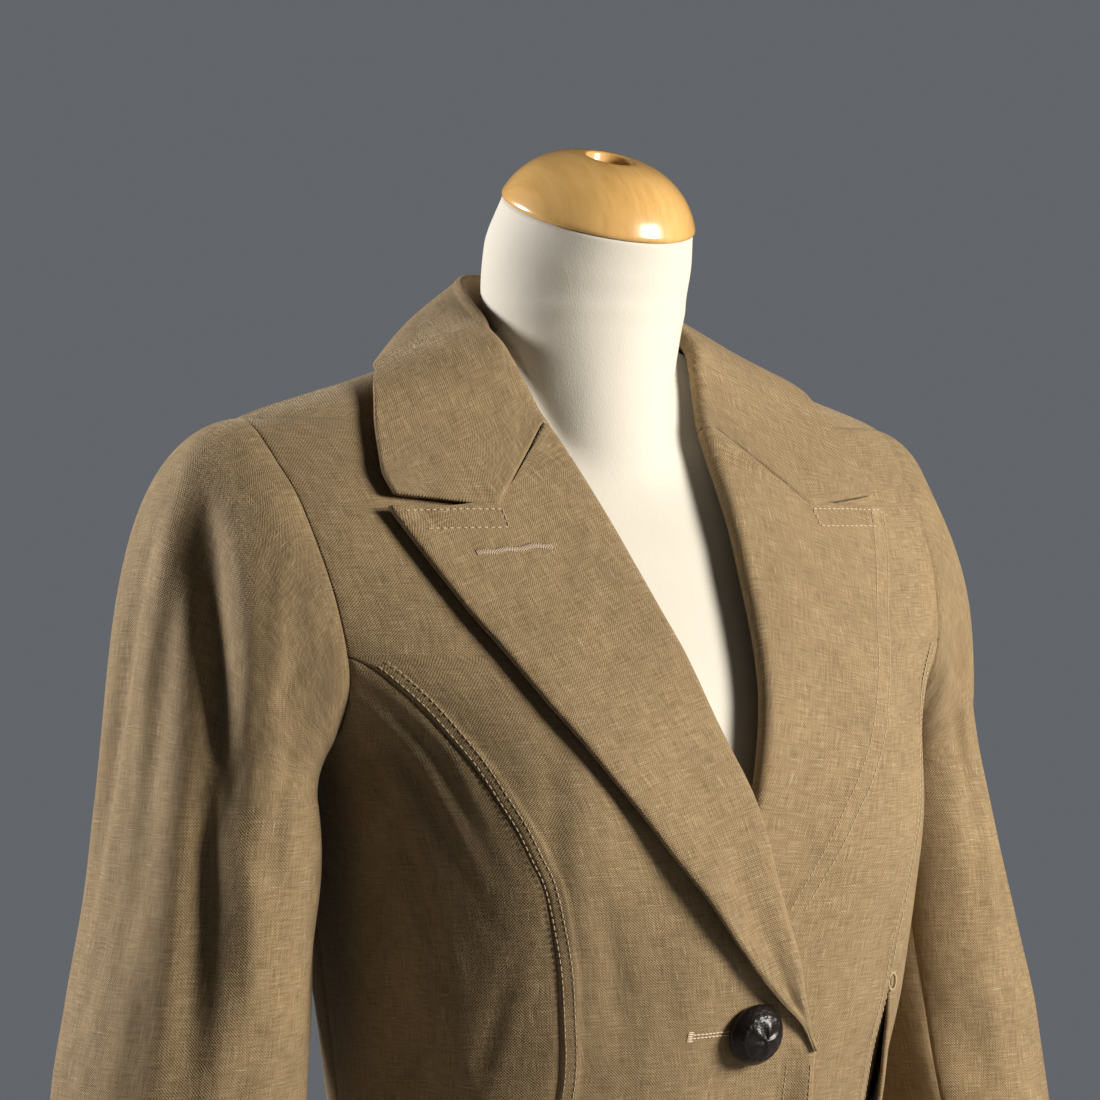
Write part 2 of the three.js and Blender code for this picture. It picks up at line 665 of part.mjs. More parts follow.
function sleevePieces(side) {
  const inset = SEAM_GAP / 33;
  const upper = sleeveAngles(SHOULDER_TIP_Z, SLEEVE_SEAM_Z);
  const under = sleeveAngles(SLEEVE_SEAM_Z, ARMPIT_Z);
  const mirrored = (angles) => angles.slice(1).reverse().map((a) => -a);
  const top = [...mirrored(upper), ...upper];
  const full = Math.PI * 2;
  const below = [...under, ...under.slice(0, -1).reverse().map((a) => full - a)];
  return [sleevePiece(side, top, inset), sleevePiece(side, below, inset)];
}

// Facing seen in the open mouth of the pocket in the wearer's left princess seam.
function pocket() {
  const rows = [...BODY_ROWS.filter((z) => z < -328 && z > -470)];
  rows.unshift(POCKET_ROWS.top + 3);
  rows.push(POCKET_ROWS.bottom - 3);
  const columns = [-1, -0.6, -0.25, 0, 0.25, 0.6, 1];
  const layer = (height) =>
    rows.map((z) =>
      columns.map((u) => {
        const angle = angleAt(princessX(z), z) + (u * 15) / body.width(z);
        return onCloth(1, angle, z, -CLOTH - 0.5 - 1.6 * (1 - u * u) + height);
      }),
    );
  return shellGeometry(layer(0), layer(-1.2));
}

// Domed shank button with a raised floret: radius and height of its profile.
const BUTTON_PROFILE = [
  [3.2, 9.5], [6.4, 8.8], [9.4, 7.6], [12, 5.8], [14, 3.6], [15.2, 1.6], [15, 0.2], [9, -0.5],
  [3.2, -0.8], [2.8, -2.4],
];
const BUTTON_SEGMENTS = 18;
const BUTTON_X = -1;

function revolved(profile, segments, topHeight, bottomHeight, place, shape = () => 0) {
  const positions = [];
  const index = [];
  const push = (r, turn, h) => {
    const p = place(r * Math.cos(turn), r * Math.sin(turn), h + shape(r, turn));
    positions.push(p.x, p.y, p.z + SIDE_NECK_HEIGHT);
  };
  push(0, 0, topHeight);
  for (const [r, h] of profile) {
    for (let i = 0; i < segments; i += 1) push(r, (2 * Math.PI * i) / segments, h);
  }
  push(0, 0, bottomHeight);
  const ring = (k, i) => 1 + k * segments + (i % segments);
  const last = 1 + profile.length * segments;
  for (let i = 0; i < segments; i += 1) {
    index.push(0, ring(0, i), ring(0, i + 1));
    for (let k = 0; k < profile.length - 1; k += 1) {
      index.push(ring(k, i), ring(k + 1, i), ring(k + 1, i + 1));
      index.push(ring(k, i), ring(k + 1, i + 1), ring(k, i + 1));
    }
    index.push(last, ring(profile.length - 1, i + 1), ring(profile.length - 1, i));
  }
  const geometry = new THREE.BufferGeometry();
  geometry.setAttribute("position", new THREE.Float32BufferAttribute(positions, 3));
  geometry.setIndex(index);
  return facingOut(geometry);
}

function button(x, z) {
  const angle = angleAt(x, z);
  const seat = onCloth(-1, angle, z, 0);
  const axis = bodyNormal(angle, z);
  const across = new THREE.Vector3(0, 0, 1).cross(axis).normalize();
  const up = axis.clone().cross(across);
  const place = (a, b, h) =>
    seat.clone().addScaledVector(across, a).addScaledVector(up, b).addScaledVector(axis, h + 3);
  const petal = (r) => (r < 13 ? 0.35 * Math.sin((Math.PI * r) / 13) : 0);
  const relief = (r, turn) => petal(r) * Math.cos(5 * turn);
  return revolved(BUTTON_PROFILE, BUTTON_SEGMENTS, 9.8, -2.4, place, relief);
}

// Dress form: the body under the cloth joined softly to a neck that leans forward.
const FORM_BOTTOM_Z = -700;
const NECK_COLUMNS = ["z", "centreY", "halfWidth", "halfDepth", "tilt"];
const NECK_TABLE = [
  [-110, 6, 44, 40, 0],
  [-60, 6, 46, 44, 0],
  [-20, 5, 48, 44, 0],
  [4, 4.5, 51.5, 45.5, 1],
  [22, 3.5, 54.5, 50.5, 6],
  [45, -1, 55, 52, 15],
  [66.6, -11.8, 50.4, 50.4, 22.9],
];
const FORM_ARM_LIMIT = [
  [-30, 400], [-41, 188], [-60, 187], [-100, 184], [-150, 174], [-205, 163], [-260, 160],
];
const FORM_CLEARANCE = [
  [-640, 14], [-420, 12], [-330, 10], [-240, 5], [-100, 4.5], [-50, 1.5], [-20, 0], [4, 0],
];
const FORM_COLUMNS = 30;
const FORM_ROWS = [
  -700, -695, -620, -540, -470, -405, -360, -310, -265, -225, -185, -150, -115, -85, -62,
  -48, -39, -30, -22, -15, -9, -4, 1,
];
const NECK_ROWS = [6, 14, 25, 38, 52, 66.6];
const formArmLimit = curveFrom(FORM_ARM_LIMIT);
const formClearance = curveFrom(FORM_CLEARANCE);

function torsoRadius(turn, z) {
  const front = Math.cos(turn) >= 0;
  const level = Math.min(z + (front ? 5 : 3), 8);
  const clear = formClearance(z);
  const tuck = 1 - 0.08 * smoothStep(-650, FORM_BOTTOM_Z, z);
  const width = Math.min(body.width(level) - clear, z > -36 ? 400 : formArmLimit(z)) * tuck;
  const s = Math.sin(turn);
  const c = Math.cos(turn);
  const depth = ((front ? body.front(level) - 2 : body.back(level)) - 1.8 - clear) * tuck;
  const power = front ? body.frontPower(level) : body.backPower(level);
  const sum = Math.abs(s / width) ** power + Math.abs(c / depth) ** power;
  const radius = sum ** (-1 / power);
  const x = radius * s;
  const across = (Math.abs(x) - BUST.x) / BUST.halfWidth;
  const up = (z - BUST.z) / BUST.halfHeight;
  const bulge = BUST.height * 0.9 * bell(Math.hypot(across, up)) * smoothStep(0, 0.4, c);
  return radius + (front ? bulge : 0);
}

const neck = {};
{
  const columns = columnsOf(NECK_TABLE);
  NECK_COLUMNS.forEach((name, i) => {
    neck[name] = smoothCurve(columns[0], columns[i]);
  });
}

function neckPoint(turn, z) {
  const tilt = THREE.MathUtils.degToRad(neck.tilt(z));
  const x = neck.halfWidth(z) * Math.sin(turn);
  const back = -neck.halfDepth(z) * Math.cos(turn);
  return new THREE.Vector3(
    x,
    neck.centreY(z) + back * Math.cos(tilt),
    z + back * Math.sin(tilt),
  );
}

function neckRadius(turn, z) {
  const a = neck.halfWidth(z);
  const b = neck.halfDepth(z);
  return 1 / Math.hypot(Math.sin(turn) / a, Math.cos(turn) / b);
}

function formPoint(turn, z) {
  const torso = torsoRadius(turn, z);
  const column = z > -110 ? neckRadius(turn, z) : 0;
  const soft = 2.5;
  const most = Math.max(torso, column);
  const gap = Math.abs(torso - column);
  const radius = most + soft * Math.exp(-gap / soft) * 0.5;
  const share = 1 / (1 + Math.exp((torso - column) / 4));
  const y = BODY_CENTRE_Y + (neck.centreY(z) - BODY_CENTRE_Y) * share;
  return new THREE.Vector3(radius * Math.sin(turn), y - radius * Math.cos(turn), z);
}

function formTorso() {
  const rings = [
    ...FORM_ROWS.map((z) => (turn) => formPoint(turn, z)),
    ...NECK_ROWS.map((z) => (turn) => neckPoint(turn, z)),
  ];
  const positions = [];
  const push = (p) => positions.push(p.x, p.y, p.z + SIDE_NECK_HEIGHT);
  push(new THREE.Vector3(0, BODY_CENTRE_Y, FORM_BOTTOM_Z));
  for (const ring of rings) {
    for (let i = 0; i < FORM_COLUMNS; i += 1) push(ring((2 * Math.PI * i) / FORM_COLUMNS));
  }
  const topZ = NECK_ROWS[NECK_ROWS.length - 1];
  push(new THREE.Vector3(0, neck.centreY(topZ), topZ));
  const index = [];
  const at = (k, i) => 1 + k * FORM_COLUMNS + (i % FORM_COLUMNS);
  const last = 1 + rings.length * FORM_COLUMNS;
  for (let i = 0; i < FORM_COLUMNS; i += 1) {
    index.push(0, at(0, i), at(0, i + 1));
    for (let k = 0; k < rings.length - 1; k += 1) {
      index.push(at(k, i), at(k + 1, i), at(k + 1, i + 1));
      index.push(at(k, i), at(k + 1, i + 1), at(k, i + 1));
    }
    index.push(last, at(rings.length - 1, i + 1), at(rings.length - 1, i));
  }
  const geometry = new THREE.BufferGeometry();
  geometry.setAttribute("position", new THREE.Float32BufferAttribute(positions, 3));
  geometry.setIndex(index);
  return facingOut(geometry);
}

// Wooden cap on the neck, a dome with a round hole: radius and height of its profile.
const CAP_PROFILE = [
  [11.5, 8], [12, 29.2], [13.4, 30.2], [19, 29.6], [27, 27.4], [35, 23.2], [42, 17.4],
  [47.2, 10.8], [50.4, 4.6], [51.2, 1.8], [50.4, 0.3],
];

function formCap() {
  const tilt = THREE.MathUtils.degToRad(22.9);
  const axis = new THREE.Vector3(0, -Math.sin(tilt), Math.cos(tilt));
  const back = new THREE.Vector3(0, Math.cos(tilt), Math.sin(tilt));
  const across = new THREE.Vector3(1, 0, 0);
  const seat = new THREE.Vector3(0, -11.8, 66.6).addScaledVector(axis, 0.3);
  const place = (a, b, h) =>
    seat.clone().addScaledVector(across, a).addScaledVector(back, b).addScaledVector(axis, h);
  return revolved(CAP_PROFILE, 28, 7.6, 0.3, place);
}

function addPart(group, name, geometry, colour) {
  const material = new THREE.MeshStandardMaterial({ color: colour, roughness: 0.9 });
  const mesh = new THREE.Mesh(geometry, material);
  mesh.name = name;
  group.add(mesh);
}

const LINEN = 0x9c855c;
const BUTTON_BROWN = 0x1f1613;
const JERSEY = 0xe6dcc6;
const WOOD = 0xc8924e;

const part = new THREE.Group();
for (const [name, side] of [["left", 1], ["right", -1]]) {
  addPart(part, `front_${name}`, frontPanel(side), LINEN);
  addPart(part, `side_front_${name}`, sidePanel(side), LINEN);
  addPart(part, `back_${name}`, backPanel(side), LINEN);
  addPart(part, `lapel_${name}`, lapel(side), LINEN);
  const [top, under] = sleevePieces(side);
  addPart(part, `sleeve_top_${name}`, top, LINEN);
  addPart(part, `sleeve_under_${name}`, under, LINEN);
}
addPart(part, "collar", collar(), LINEN);
addPart(part, "pocket_facing_left", pocket(), LINEN);
addPart(part, "button_upper", button(BUTTON_X, -338), BUTTON_BROWN);
addPart(part, "button_lower", button(BUTTON_X, -437), BUTTON_BROWN);
addPart(part, "form_body", formTorso(), JERSEY);
addPart(part, "form_cap", formCap(), WOOD);

export default part;
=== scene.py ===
"""Looks of the linen blazer on its dress form, in millimetres, heights from the side neck point."""
import math

import bpy
import numpy as np
from mathutils import Matrix, Vector


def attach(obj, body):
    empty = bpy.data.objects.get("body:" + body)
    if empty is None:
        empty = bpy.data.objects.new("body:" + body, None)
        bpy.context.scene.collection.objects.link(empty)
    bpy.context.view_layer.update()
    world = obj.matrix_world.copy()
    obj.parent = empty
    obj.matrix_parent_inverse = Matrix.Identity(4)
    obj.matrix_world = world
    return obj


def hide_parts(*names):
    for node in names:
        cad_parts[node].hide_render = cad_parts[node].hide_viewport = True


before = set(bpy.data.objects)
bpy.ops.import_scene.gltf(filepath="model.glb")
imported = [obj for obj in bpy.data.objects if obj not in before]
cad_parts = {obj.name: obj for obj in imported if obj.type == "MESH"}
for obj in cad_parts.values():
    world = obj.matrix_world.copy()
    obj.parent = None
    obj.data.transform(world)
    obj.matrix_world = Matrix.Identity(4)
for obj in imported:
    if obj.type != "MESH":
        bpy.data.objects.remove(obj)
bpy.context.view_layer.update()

SIDE_NECK_HEIGHT = 700
BODY_CENTRE_Y = 7
CLOTH = 1.6
FACED_CLOTH = 2.6
CAD_CLOTH = 2
SEAM_GAP = 0.04
ROLL_RADIUS = 4
SIDES = ((1, "left"), (-1, "right"))
HEM_Z = -630
ARMPIT_Z = -205
SHOULDER_TIP_Z = -41
PRINCESS_TOP_Z = -155
GORGE_Z = -48
BREAK_Z = -350
BUTTON_X = -1
LEFT_BREAK_Z = -300
POCKET_TOP_Z = -328
POCKET_BOTTOM_Z = -470

BODY_COLUMNS = ["z", "width", "front", "back", "front_power", "back_power"]
BODY_TABLE = [
    [8, 46, 14, 40, 2, 2],
    [2, 66, 18, 50, 2, 2],
    [-8, 96, 21, 57, 2, 2],
    [-20, 132, 26, 65, 2, 2],
    [-41, 197, 36, 76, 2, 2],
    [-60, 226, 51, 84, 2, 2],
    [-80, 244, 67, 88, 2.1, 2],
    [-100, 242, 82, 91, 2.2, 2],
    [-120, 238, 95, 93, 2.25, 2],
    [-140, 230, 108, 94, 2.2, 2.1],
    [-160, 210, 120, 95, 2.4, 2.1],
    [-180, 188, 129, 94, 2.65, 2.2],
    [-205, 172, 137, 92, 2.9, 2.2],
    [-240, 165, 143, 88, 3, 2.2],
    [-280, 160, 146, 82, 2.85, 2.2],
    [-330, 154, 143, 74, 2.8, 2.2],
    [-370, 149, 134, 68, 2.75, 2.2],
    [-405, 145, 127, 66, 2.7, 2.2],
    [-440, 149, 124, 74, 2.6, 2.2],
    [-500, 164, 126, 96, 2.4, 2.3],
    [-560, 179, 132, 112, 2.3, 2.3],
    [-640, 192, 138, 122, 2.3, 2.3],
]
BUST = {"x": 88, "z": -238, "height": 9, "half_width": 46, "half_height": 62}

ROLL_LINE = [
    [2, 60], [0, 59.4], [-20, 54.4], [-40, 49.6], [-60, 44.6], [-80, 40.7], [-100, 36.7],
    [-120, 32.2], [-140, 27.7], [-160, 22.7], [-180, 17.9], [-200, 11.8], [-220, 5.8],
    [-240, 1], [-270, -6], [-300, -16.5], [-320, -23.5], [-332, -29.5], [-350, -37.5],
]
ARMHOLE_FRONT = [
    [-41, 197], [-60, 193], [-80, 189], [-100, 186.5], [-120, 184], [-140, 181.4],
    [-155, 179.8], [-175, 176.5], [-190, 174.2], [-205, 172],
]
ARMHOLE_BACK = [
    [-41, 197], [-60, 194], [-80, 190], [-100, 187], [-120, 184], [-140, 181],
    [-155, 179], [-175, 177], [-190, 175], [-205, 172],
]
PRINCESS_SEAM = [
    [-155, 179.8], [-160, 171.5], [-170, 160.8], [-180, 151.8], [-194, 141.8], [-208, 133],
    [-225, 124.6], [-238, 118.3], [-251, 113.1], [-263, 108.3], [-279, 104.9], [-305, 100.6],
    [-327, 98.5], [-360, 95.5], [-405, 96], [-440, 100], [-500, 111], [-560, 121], [-640, 130],
]
LAPEL_EDGE = [
    [-88, 150], [-106, 142], [-120, 135], [-144, 121.5], [-160, 112], [-175, 103],
    [-205, 83.5], [-233, 64.5], [-254, 51], [-276, 34], [-289, 24], [-297, 17], [-309, 6],
    [-325, -12], [-337, -27], [-350, -38],
]
CLOSURE_LIFT = [[-640, 3.6], [-345, 3.6], [-325, 6], [-300, 9.4], [-245, 9], [-190, 0], [10, 0]]
NOTCH_CORNER = (94.5, -88.5)
BODY_ROWS = [
    2, -5, -13, -22, -31, -41, -48, -60, -74, -88, -104, -120, -138, -155, -159, -172, -184,
    -196, -201, -205, -220, -237, -255, -273, -291, -307, -321, -334, -350, -378, -405, -437,
    -480, -550, -630,
]


def curve(table):
    """Monotone cubic through a short table of (place, value) rows, for arrays."""
    rows = np.array(sorted(table), float)
    xs, ys = rows[:, 0], rows[:, 1]
    steps = np.diff(xs)
    slopes = np.diff(ys) / steps
    product = slopes[:-1] * slopes[1:]
    total = np.where(product > 0, slopes[:-1] + slopes[1:], 1)
    middle = np.where(product > 0, 2 * product / total, 0)
    tangents = np.concatenate([[slopes[0]], middle, [slopes[-1]]])

    def value(x):
        x = np.clip(x, xs[0], xs[-1])
        i = np.clip(np.searchsorted(xs, x, side="right") - 1, 0, len(steps) - 1)
        t = (x - xs[i]) / steps[i]
        return (
            ys[i] * (2 * t**3 - 3 * t**2 + 1)
            + tangents[i] * steps[i] * (t**3 - 2 * t**2 + t)
            + ys[i + 1] * (3 * t**2 - 2 * t**3)
            + tangents[i + 1] * steps[i] * (t**3 - t**2)
        )

    return value


def column_curves(names, table):
    return {
        name: curve([[row[0], row[i]] for row in table]) for i, name in enumerate(names) if i
    }


def smooth_step(low, high, value):
    t = np.clip((value - low) / (high - low), 0, 1)
    return t * t * (3 - 2 * t)


def bell(distance):
    return np.exp(-distance * distance)


body = column_curves(BODY_COLUMNS, BODY_TABLE)
roll_x = curve(ROLL_LINE)
armhole_front_x = curve(ARMHOLE_FRONT)
armhole_back_x = curve(ARMHOLE_BACK)
princess_x = curve(PRINCESS_SEAM)
lapel_edge_x = curve(LAPEL_EDGE)
closure_lift = curve(CLOSURE_LIFT)


def bust(x, z):
    across = (np.abs(x) - BUST["x"]) / BUST["half_width"]
    up = (z - BUST["z"]) / BUST["half_height"]
    return BUST["height"] * bell(np.hypot(across, up))


def body_point(angle, z):
    angle, z = np.broadcast_arrays(np.asarray(angle, float), np.asarray(z, float))
    s, c = np.sin(angle), np.cos(angle)
    front = c >= 0
    power = 2 / np.where(front, body["front_power"](z), body["back_power"](z))
    depth = np.where(front, body["front"](z), -body["back"](z))
    x = np.sign(s) * body["width"](z) * np.abs(s) ** power
    y = BODY_CENTRE_Y - depth * np.abs(c) ** power
    bulge = np.where(front, bust(x, z) * smooth_step(0, 0.2, c), 0)
    return np.stack([x + np.sign(x) * 0.3 * bulge, y - bulge, z], axis=-1)


def unit(vectors):
    return vectors / np.maximum(np.linalg.norm(vectors, axis=-1, keepdims=True), 1e-9)


def body_normal(angle, z):
    a, h = 0.004, 0.6
    around = body_point(angle + a, z) - body_point(angle - a, z)
    up = body_point(angle, z + h) - body_point(angle, z - h)
    return unit(np.cross(around, up))


def angle_at(x, z, back=False):
    x, z = np.broadcast_arrays(np.asarray(x, float), np.asarray(z, float))
    power = body["back_power"](z) if back else body["front_power"](z)
    ratio = np.clip(np.abs(x) / body["width"](z), 0, 1)
    angle = np.arcsin(ratio ** (power / 2))
    sign = np.where(x < 0, -1.0, 1.0)
    return sign * (np.pi - angle if back else angle)


# Folds: angle, z, tilt, width, length, depth.
BODY_FOLDS = [
    [62, -395, 0.5, 9, 60, 3.2], [50, -425, -0.4, 8, 45, 2.4],
    [-58, -400, -0.6, 9, 55, 2.8], [-70, -330, -0.35, 7, 60, 2.2],
    [72, -300, 0.3, 8, 60, 2], [-25, -415, 0.3, 8, 40, 1.8],
    [128, -400, 0.4, 10, 50, 3], [-132, -410, -0.5, 11, 55, 2.7],
    [150, -375, -0.3, 9, 45, 1.9], [-158, -170, 0.3, 12, 55, 1.8],
    [35, -560, 0.1, 11, 80, 2.6], [-40, -550, -0.1, 12, 80, 2.4],
    [165, -560, 0.1, 12, 80, 3], [-120, -560, 0.15, 12, 80, 2.8],
]
# Small creases that the solids are too coarse for.
FINE_FOLDS = [
    [-52, -205, -0.25, 2.4, 34, 1], [-57, -222, -0.3, 2.2, 40, 0.9],
    [-66, -238, -0.2, 2.6, 46, 1.2], [-61, -280, -0.15, 2, 38, 0.8],
    [-72, -262, 0.2, 2.4, 30, 0.9], [-69, -345, 0.3, 2.6, 42, 1.1],
    [-57, -352, -0.3, 2.2, 34, 0.8], [-48, -338, 0.25, 2.2, 30, 0.7],
    [-30, -240, 0.1, 3, 50, 0.7], [-21, -300, -0.1, 2.6, 46, 0.6],
    [56, -222, 0.25, 2.4, 38, 0.9], [64, -250, 0.2, 2.6, 44, 1],
    [70, -300, -0.2, 2.4, 40, 0.9], [60, -350, -0.3, 2.4, 36, 0.9],
    [118, -215, 0.3, 3, 46, 1.1], [-121, -228, -0.25, 2.8, 44, 1.1],
    [135, -260, 0.2, 2.6, 50, 0.8], [-140, -300, -0.2, 2.8, 50, 0.9],
    [158, -410, 0.2, 3.2, 40, 1.2], [-152, -395, -0.3, 3, 42, 1.1],
    [102, -520, 0.1, 3, 60, 1], [-95, -540, -0.1, 3, 60, 1],
]


def fold_depth(folds, degrees, z, run, ridge=0.45, ridge_at=1.7):
    total = np.zeros(np.broadcast(degrees, z).shape)
    for angle, at, tilt, width, length, depth in folds:
        across = (degrees - angle - tilt * (z - at) * run) / width
        along = (z - at) / length
        beside = ridge * bell((across - ridge_at) / 1.1)
        total = total + depth * bell(along) * (bell(across) - beside)
    return total


# The free edge of the upper front curls outwards under the lapel.
EDGE_CURL = {"z": -382, "height": 8, "half_length": 42, "start": 12}
FRONT_OVERLAP = {"right": 38, "left": 22}


def front_lift(side, x, z):
    if side > 0:
        return 0 * x
    along = bell((z - EDGE_CURL["z"]) / EDGE_CURL["half_length"]) * smooth_step(-332, -350, z)
    across = smooth_step(EDGE_CURL["start"], FRONT_OVERLAP["right"] + 2, x) ** 2
    return closure_lift(z) * smooth_step(-80, -24, x) + EDGE_CURL["height"] * along * across


def on_cloth(side, angle, z, height):
    """Point on the outer face of the worn cloth, moved out by height."""
    base = body_point(angle, z)
    x = base[..., 0]
    front = np.abs(angle) < np.pi / 2
    lift = np.where(front, front_lift(side, x, z), 0)
    degrees = np.degrees(angle)
    free = 1 - smooth_step(-130, -60, z) * smooth_step(150, 170, np.abs(x))
    depth = fold_depth(BODY_FOLDS, degrees, z, 0.3)
    depth = depth + 1.5 * fold_depth(FINE_FOLDS, degrees, z, 0.6)
    out = height + lift - depth * free
    return base + body_normal(angle, z) * np.asarray(out)[..., None]


def on_front(side, x, z, height):
    return on_cloth(side, angle_at(x, z), z, height)


def fine_rows(rows, parts):
    rows = np.array(rows, float)
    pieces = [np.linspace(a, b, parts, endpoint=False) for a, b in zip(rows[:-1], rows[1:])]
    return np.concatenate([*pieces, rows[-1:]])


def new_object(name, data):
    made = bpy.data.objects.new(name, data)
    bpy.context.scene.collection.objects.link(made)
    return made


def set_mesh(name, points, faces, uvs=None):
    mesh = bpy.data.meshes.new(name)
    world = (np.asarray(points) + np.array([0, 0, SIDE_NECK_HEIGHT])) / 1000
    mesh.from_pydata(world.tolist(), [], faces)
    if uvs is not None:
        layer = mesh.uv_layers.new(name="cloth")
        loops = np.empty(len(mesh.loops), np.int32)
        mesh.loops.foreach_get("vertex_index", loops)
        layer.data.foreach_set("uv", (np.asarray(uvs)[loops] / 1000).astype(np.float32).ravel())
    mesh.polygons.foreach_set("use_smooth", np.ones(len(mesh.polygons), bool))
    mesh.update()
    made = new_object(name, mesh)
    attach(made, "root")
    return made


def quads(*corners):
    return np.stack(corners, -1).reshape(-1, 4)


def ring_faces(ids):
    """Faces between the rows of a grid of points whose columns run round."""
    after = np.roll(ids, -1, axis=-1)
    return quads(ids[..., :-1, :], ids[..., 1:, :], after[..., 1:, :], after[..., :-1, :])


def closed_body(name, points, turned=False):
    """Closed body through rings of points, from one end to the other."""
    ids = np.arange(points[..., 0].size).reshape(points.shape[:2])
    faces = ring_faces(ids).tolist() + [ids[0].tolist(), ids[-1, ::-1].tolist()]
    if turned:
        faces = [face[::-1] for face in faces]
    return set_mesh(name, points.reshape(-1, 3), faces)


def run_along(points, axis=0):
    """Distance from the first point to each point, along the points between."""
    steps = np.linalg.norm(np.diff(points, axis=axis), axis=-1)
    start = np.zeros_like(np.take(steps, [0], axis=axis))
    return np.concatenate([start, np.cumsum(steps, axis=axis)], axis=axis)


def cloth_lengths(grid):
    """Distance along and across the cloth, so that the weave keeps its size and grain."""
    middle = grid.shape[1] // 2
    u = run_along(grid, 1)
    u = u - u[:, middle : middle + 1]
    return np.broadcast_arrays(u, -run_along(grid[:, middle])[:, None])


def shell(name, outer, inner, turned=False, node=None):
    """Piece of cloth between two grids of points, in place of the node of its name."""
    rows, columns = outer.shape[:2]
    o, i = np.arange(2 * rows * columns).reshape(2, rows, columns)
    faces = np.concatenate([
        quads(o[:-1, :-1], o[1:, :-1], o[1:, 1:], o[:-1, 1:]),
        quads(i[:-1, :-1], i[:-1, 1:], i[1:, 1:], i[1:, :-1]),
        quads(o[:-1, 0], i[:-1, 0], i[1:, 0], o[1:, 0]),
        quads(o[1:, -1], i[1:, -1], i[:-1, -1], o[:-1, -1]),
        quads(o[0, 1:], i[0, 1:], i[0, :-1], o[0, :-1]),
        quads(o[-1, :-1], i[-1, :-1], i[-1, 1:], o[-1, 1:]),
    ])
    if turned:
        faces = faces[:, ::-1]
    uv = np.stack(cloth_lengths(outer), -1).reshape(-1, 2)
    points = np.concatenate([outer.reshape(-1, 3), inner.reshape(-1, 3)])
    made = set_mesh(f"cloth_{name}", points, faces.tolist(), np.concatenate([uv, uv]))
    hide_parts(node or name)
    cloth.append(made)


def grid_normal(grid):
    return unit(np.cross(np.gradient(grid, axis=0), np.gradient(grid, axis=1)))


def seam_dip(distance, depth=0.9, width=1.8):
    """Height of the cloth over its plain face, by distance from the seam."""
    return -depth * bell(distance / width)


# How far the columns of a panel crowd towards its seams, from 0 to 1.
EDGE_CROWDING = 0.35


def body_panel(name, side, rows, columns, start, end, relief):
    z = rows[:, None]
    inset = SEAM_GAP / 2 / body["width"](z)
    low = start(z) + inset
    high = end(z) - inset
    even = np.linspace(0, 1, columns + 1)[None, :]
    t = even + EDGE_CROWDING * (0.5 - 0.5 * np.cos(np.pi * even) - even)
    angle = low + (high - low) * t
    run = run_along(body_point(angle, z), 1)
    height = relief(run, run[:, -1:] - run, z)
    outer = on_cloth(side, side * angle, z, height)
    inner = on_cloth(side, side * angle, z, np.maximum(height, 0) - CLOTH)
    shell(name, outer, inner, turned=side < 0)


def roll_radius(side, z):
    closing = 3 * smooth_step(-312, BREAK_Z, z) * (side < 0)
    return ROLL_RADIUS - 1.6 * smooth_step(-215, -240, z) * (side > 0) - closing


def front_edge(side):
    def angle(z):
        break_z = BREAK_Z if side < 0 else LEFT_BREAK_Z
        gap = np.where(z > GORGE_Z, 0.6, 0.3)
        upper = angle_at(roll_x(z) + roll_radius(side, z) + gap, z)
        rounded = 34 * smooth_step(-560, HEM_Z, z) ** 2
        overlap = FRONT_OVERLAP["right" if side < 0 else "left"]
        return np.where(z > break_z, upper, angle_at(rounded - overlap, z))

    return angle


def pocket_gap(side, z):
    t = np.clip((z - POCKET_BOTTOM_Z) / (POCKET_TOP_Z - POCKET_BOTTOM_Z), 0, 1)
    return (side > 0) * 7 * np.sin(np.pi * t) ** 0.7


def princess_angle(side, z, behind):
    """Edge of the cloth in front of the princess seam, with -1, or behind it, with 1."""
    return angle_at(princess_x(z), z) + behind * pocket_gap(side, z) / 2 / body["width"](z)


def front_outer(side):
    def angle(z):
        arm = angle_at(armhole_front_x(z), z)
        seam = princess_angle(side, z, -1)
        return np.where(z >= SHOULDER_TIP_Z, np.pi / 2, np.where(z >= PRINCESS_TOP_Z, arm, seam))

    return angle


def side_inner(side):
    return lambda z: princess_angle(side, z, 1)


def side_outer(z):
    return np.where(z >= ARMPIT_Z, angle_at(armhole_front_x(z), z), np.pi / 2)


def back_outer(z):
    plain = (z >= SHOULDER_TIP_Z) | (z <= ARMPIT_Z)
    return np.where(plain, np.pi / 2, angle_at(armhole_back_x(z), z, True))


def hem_roll(z):
    return -0.7 * bell((z - HEM_Z) / 2.2) + 0.25 * smooth_step(HEM_Z + 34, HEM_Z + 30, z)


# Height of the allowance pressed under the front beside the princess seam.
PRINCESS_RAISE = 0.8


def front_relief(from_edge, from_seam, z):
    below = smooth_step(PRINCESS_TOP_Z + 2, PRINCESS_TOP_Z - 8, z)
    raised = PRINCESS_RAISE * below * smooth_step(10.5, 8, from_seam)
    edge = seam_dip(from_edge) * smooth_step(BREAK_Z + 6, BREAK_Z - 6, z)
    return raised + seam_dip(from_seam, 0.25 + 0.95 * below, 1.1) + edge + hem_roll(z)


def plain_relief(from_start, from_end, z):
    return seam_dip(from_start, 0.7) + seam_dip(from_end, 0.7) + hem_roll(z)


def side_relief(side):
    def relief(from_start, from_end, z):
        flare = pocket_gap(side, z) * bell(from_start / 12)
        return plain_relief(from_start, from_end, z) + flare

    return relief


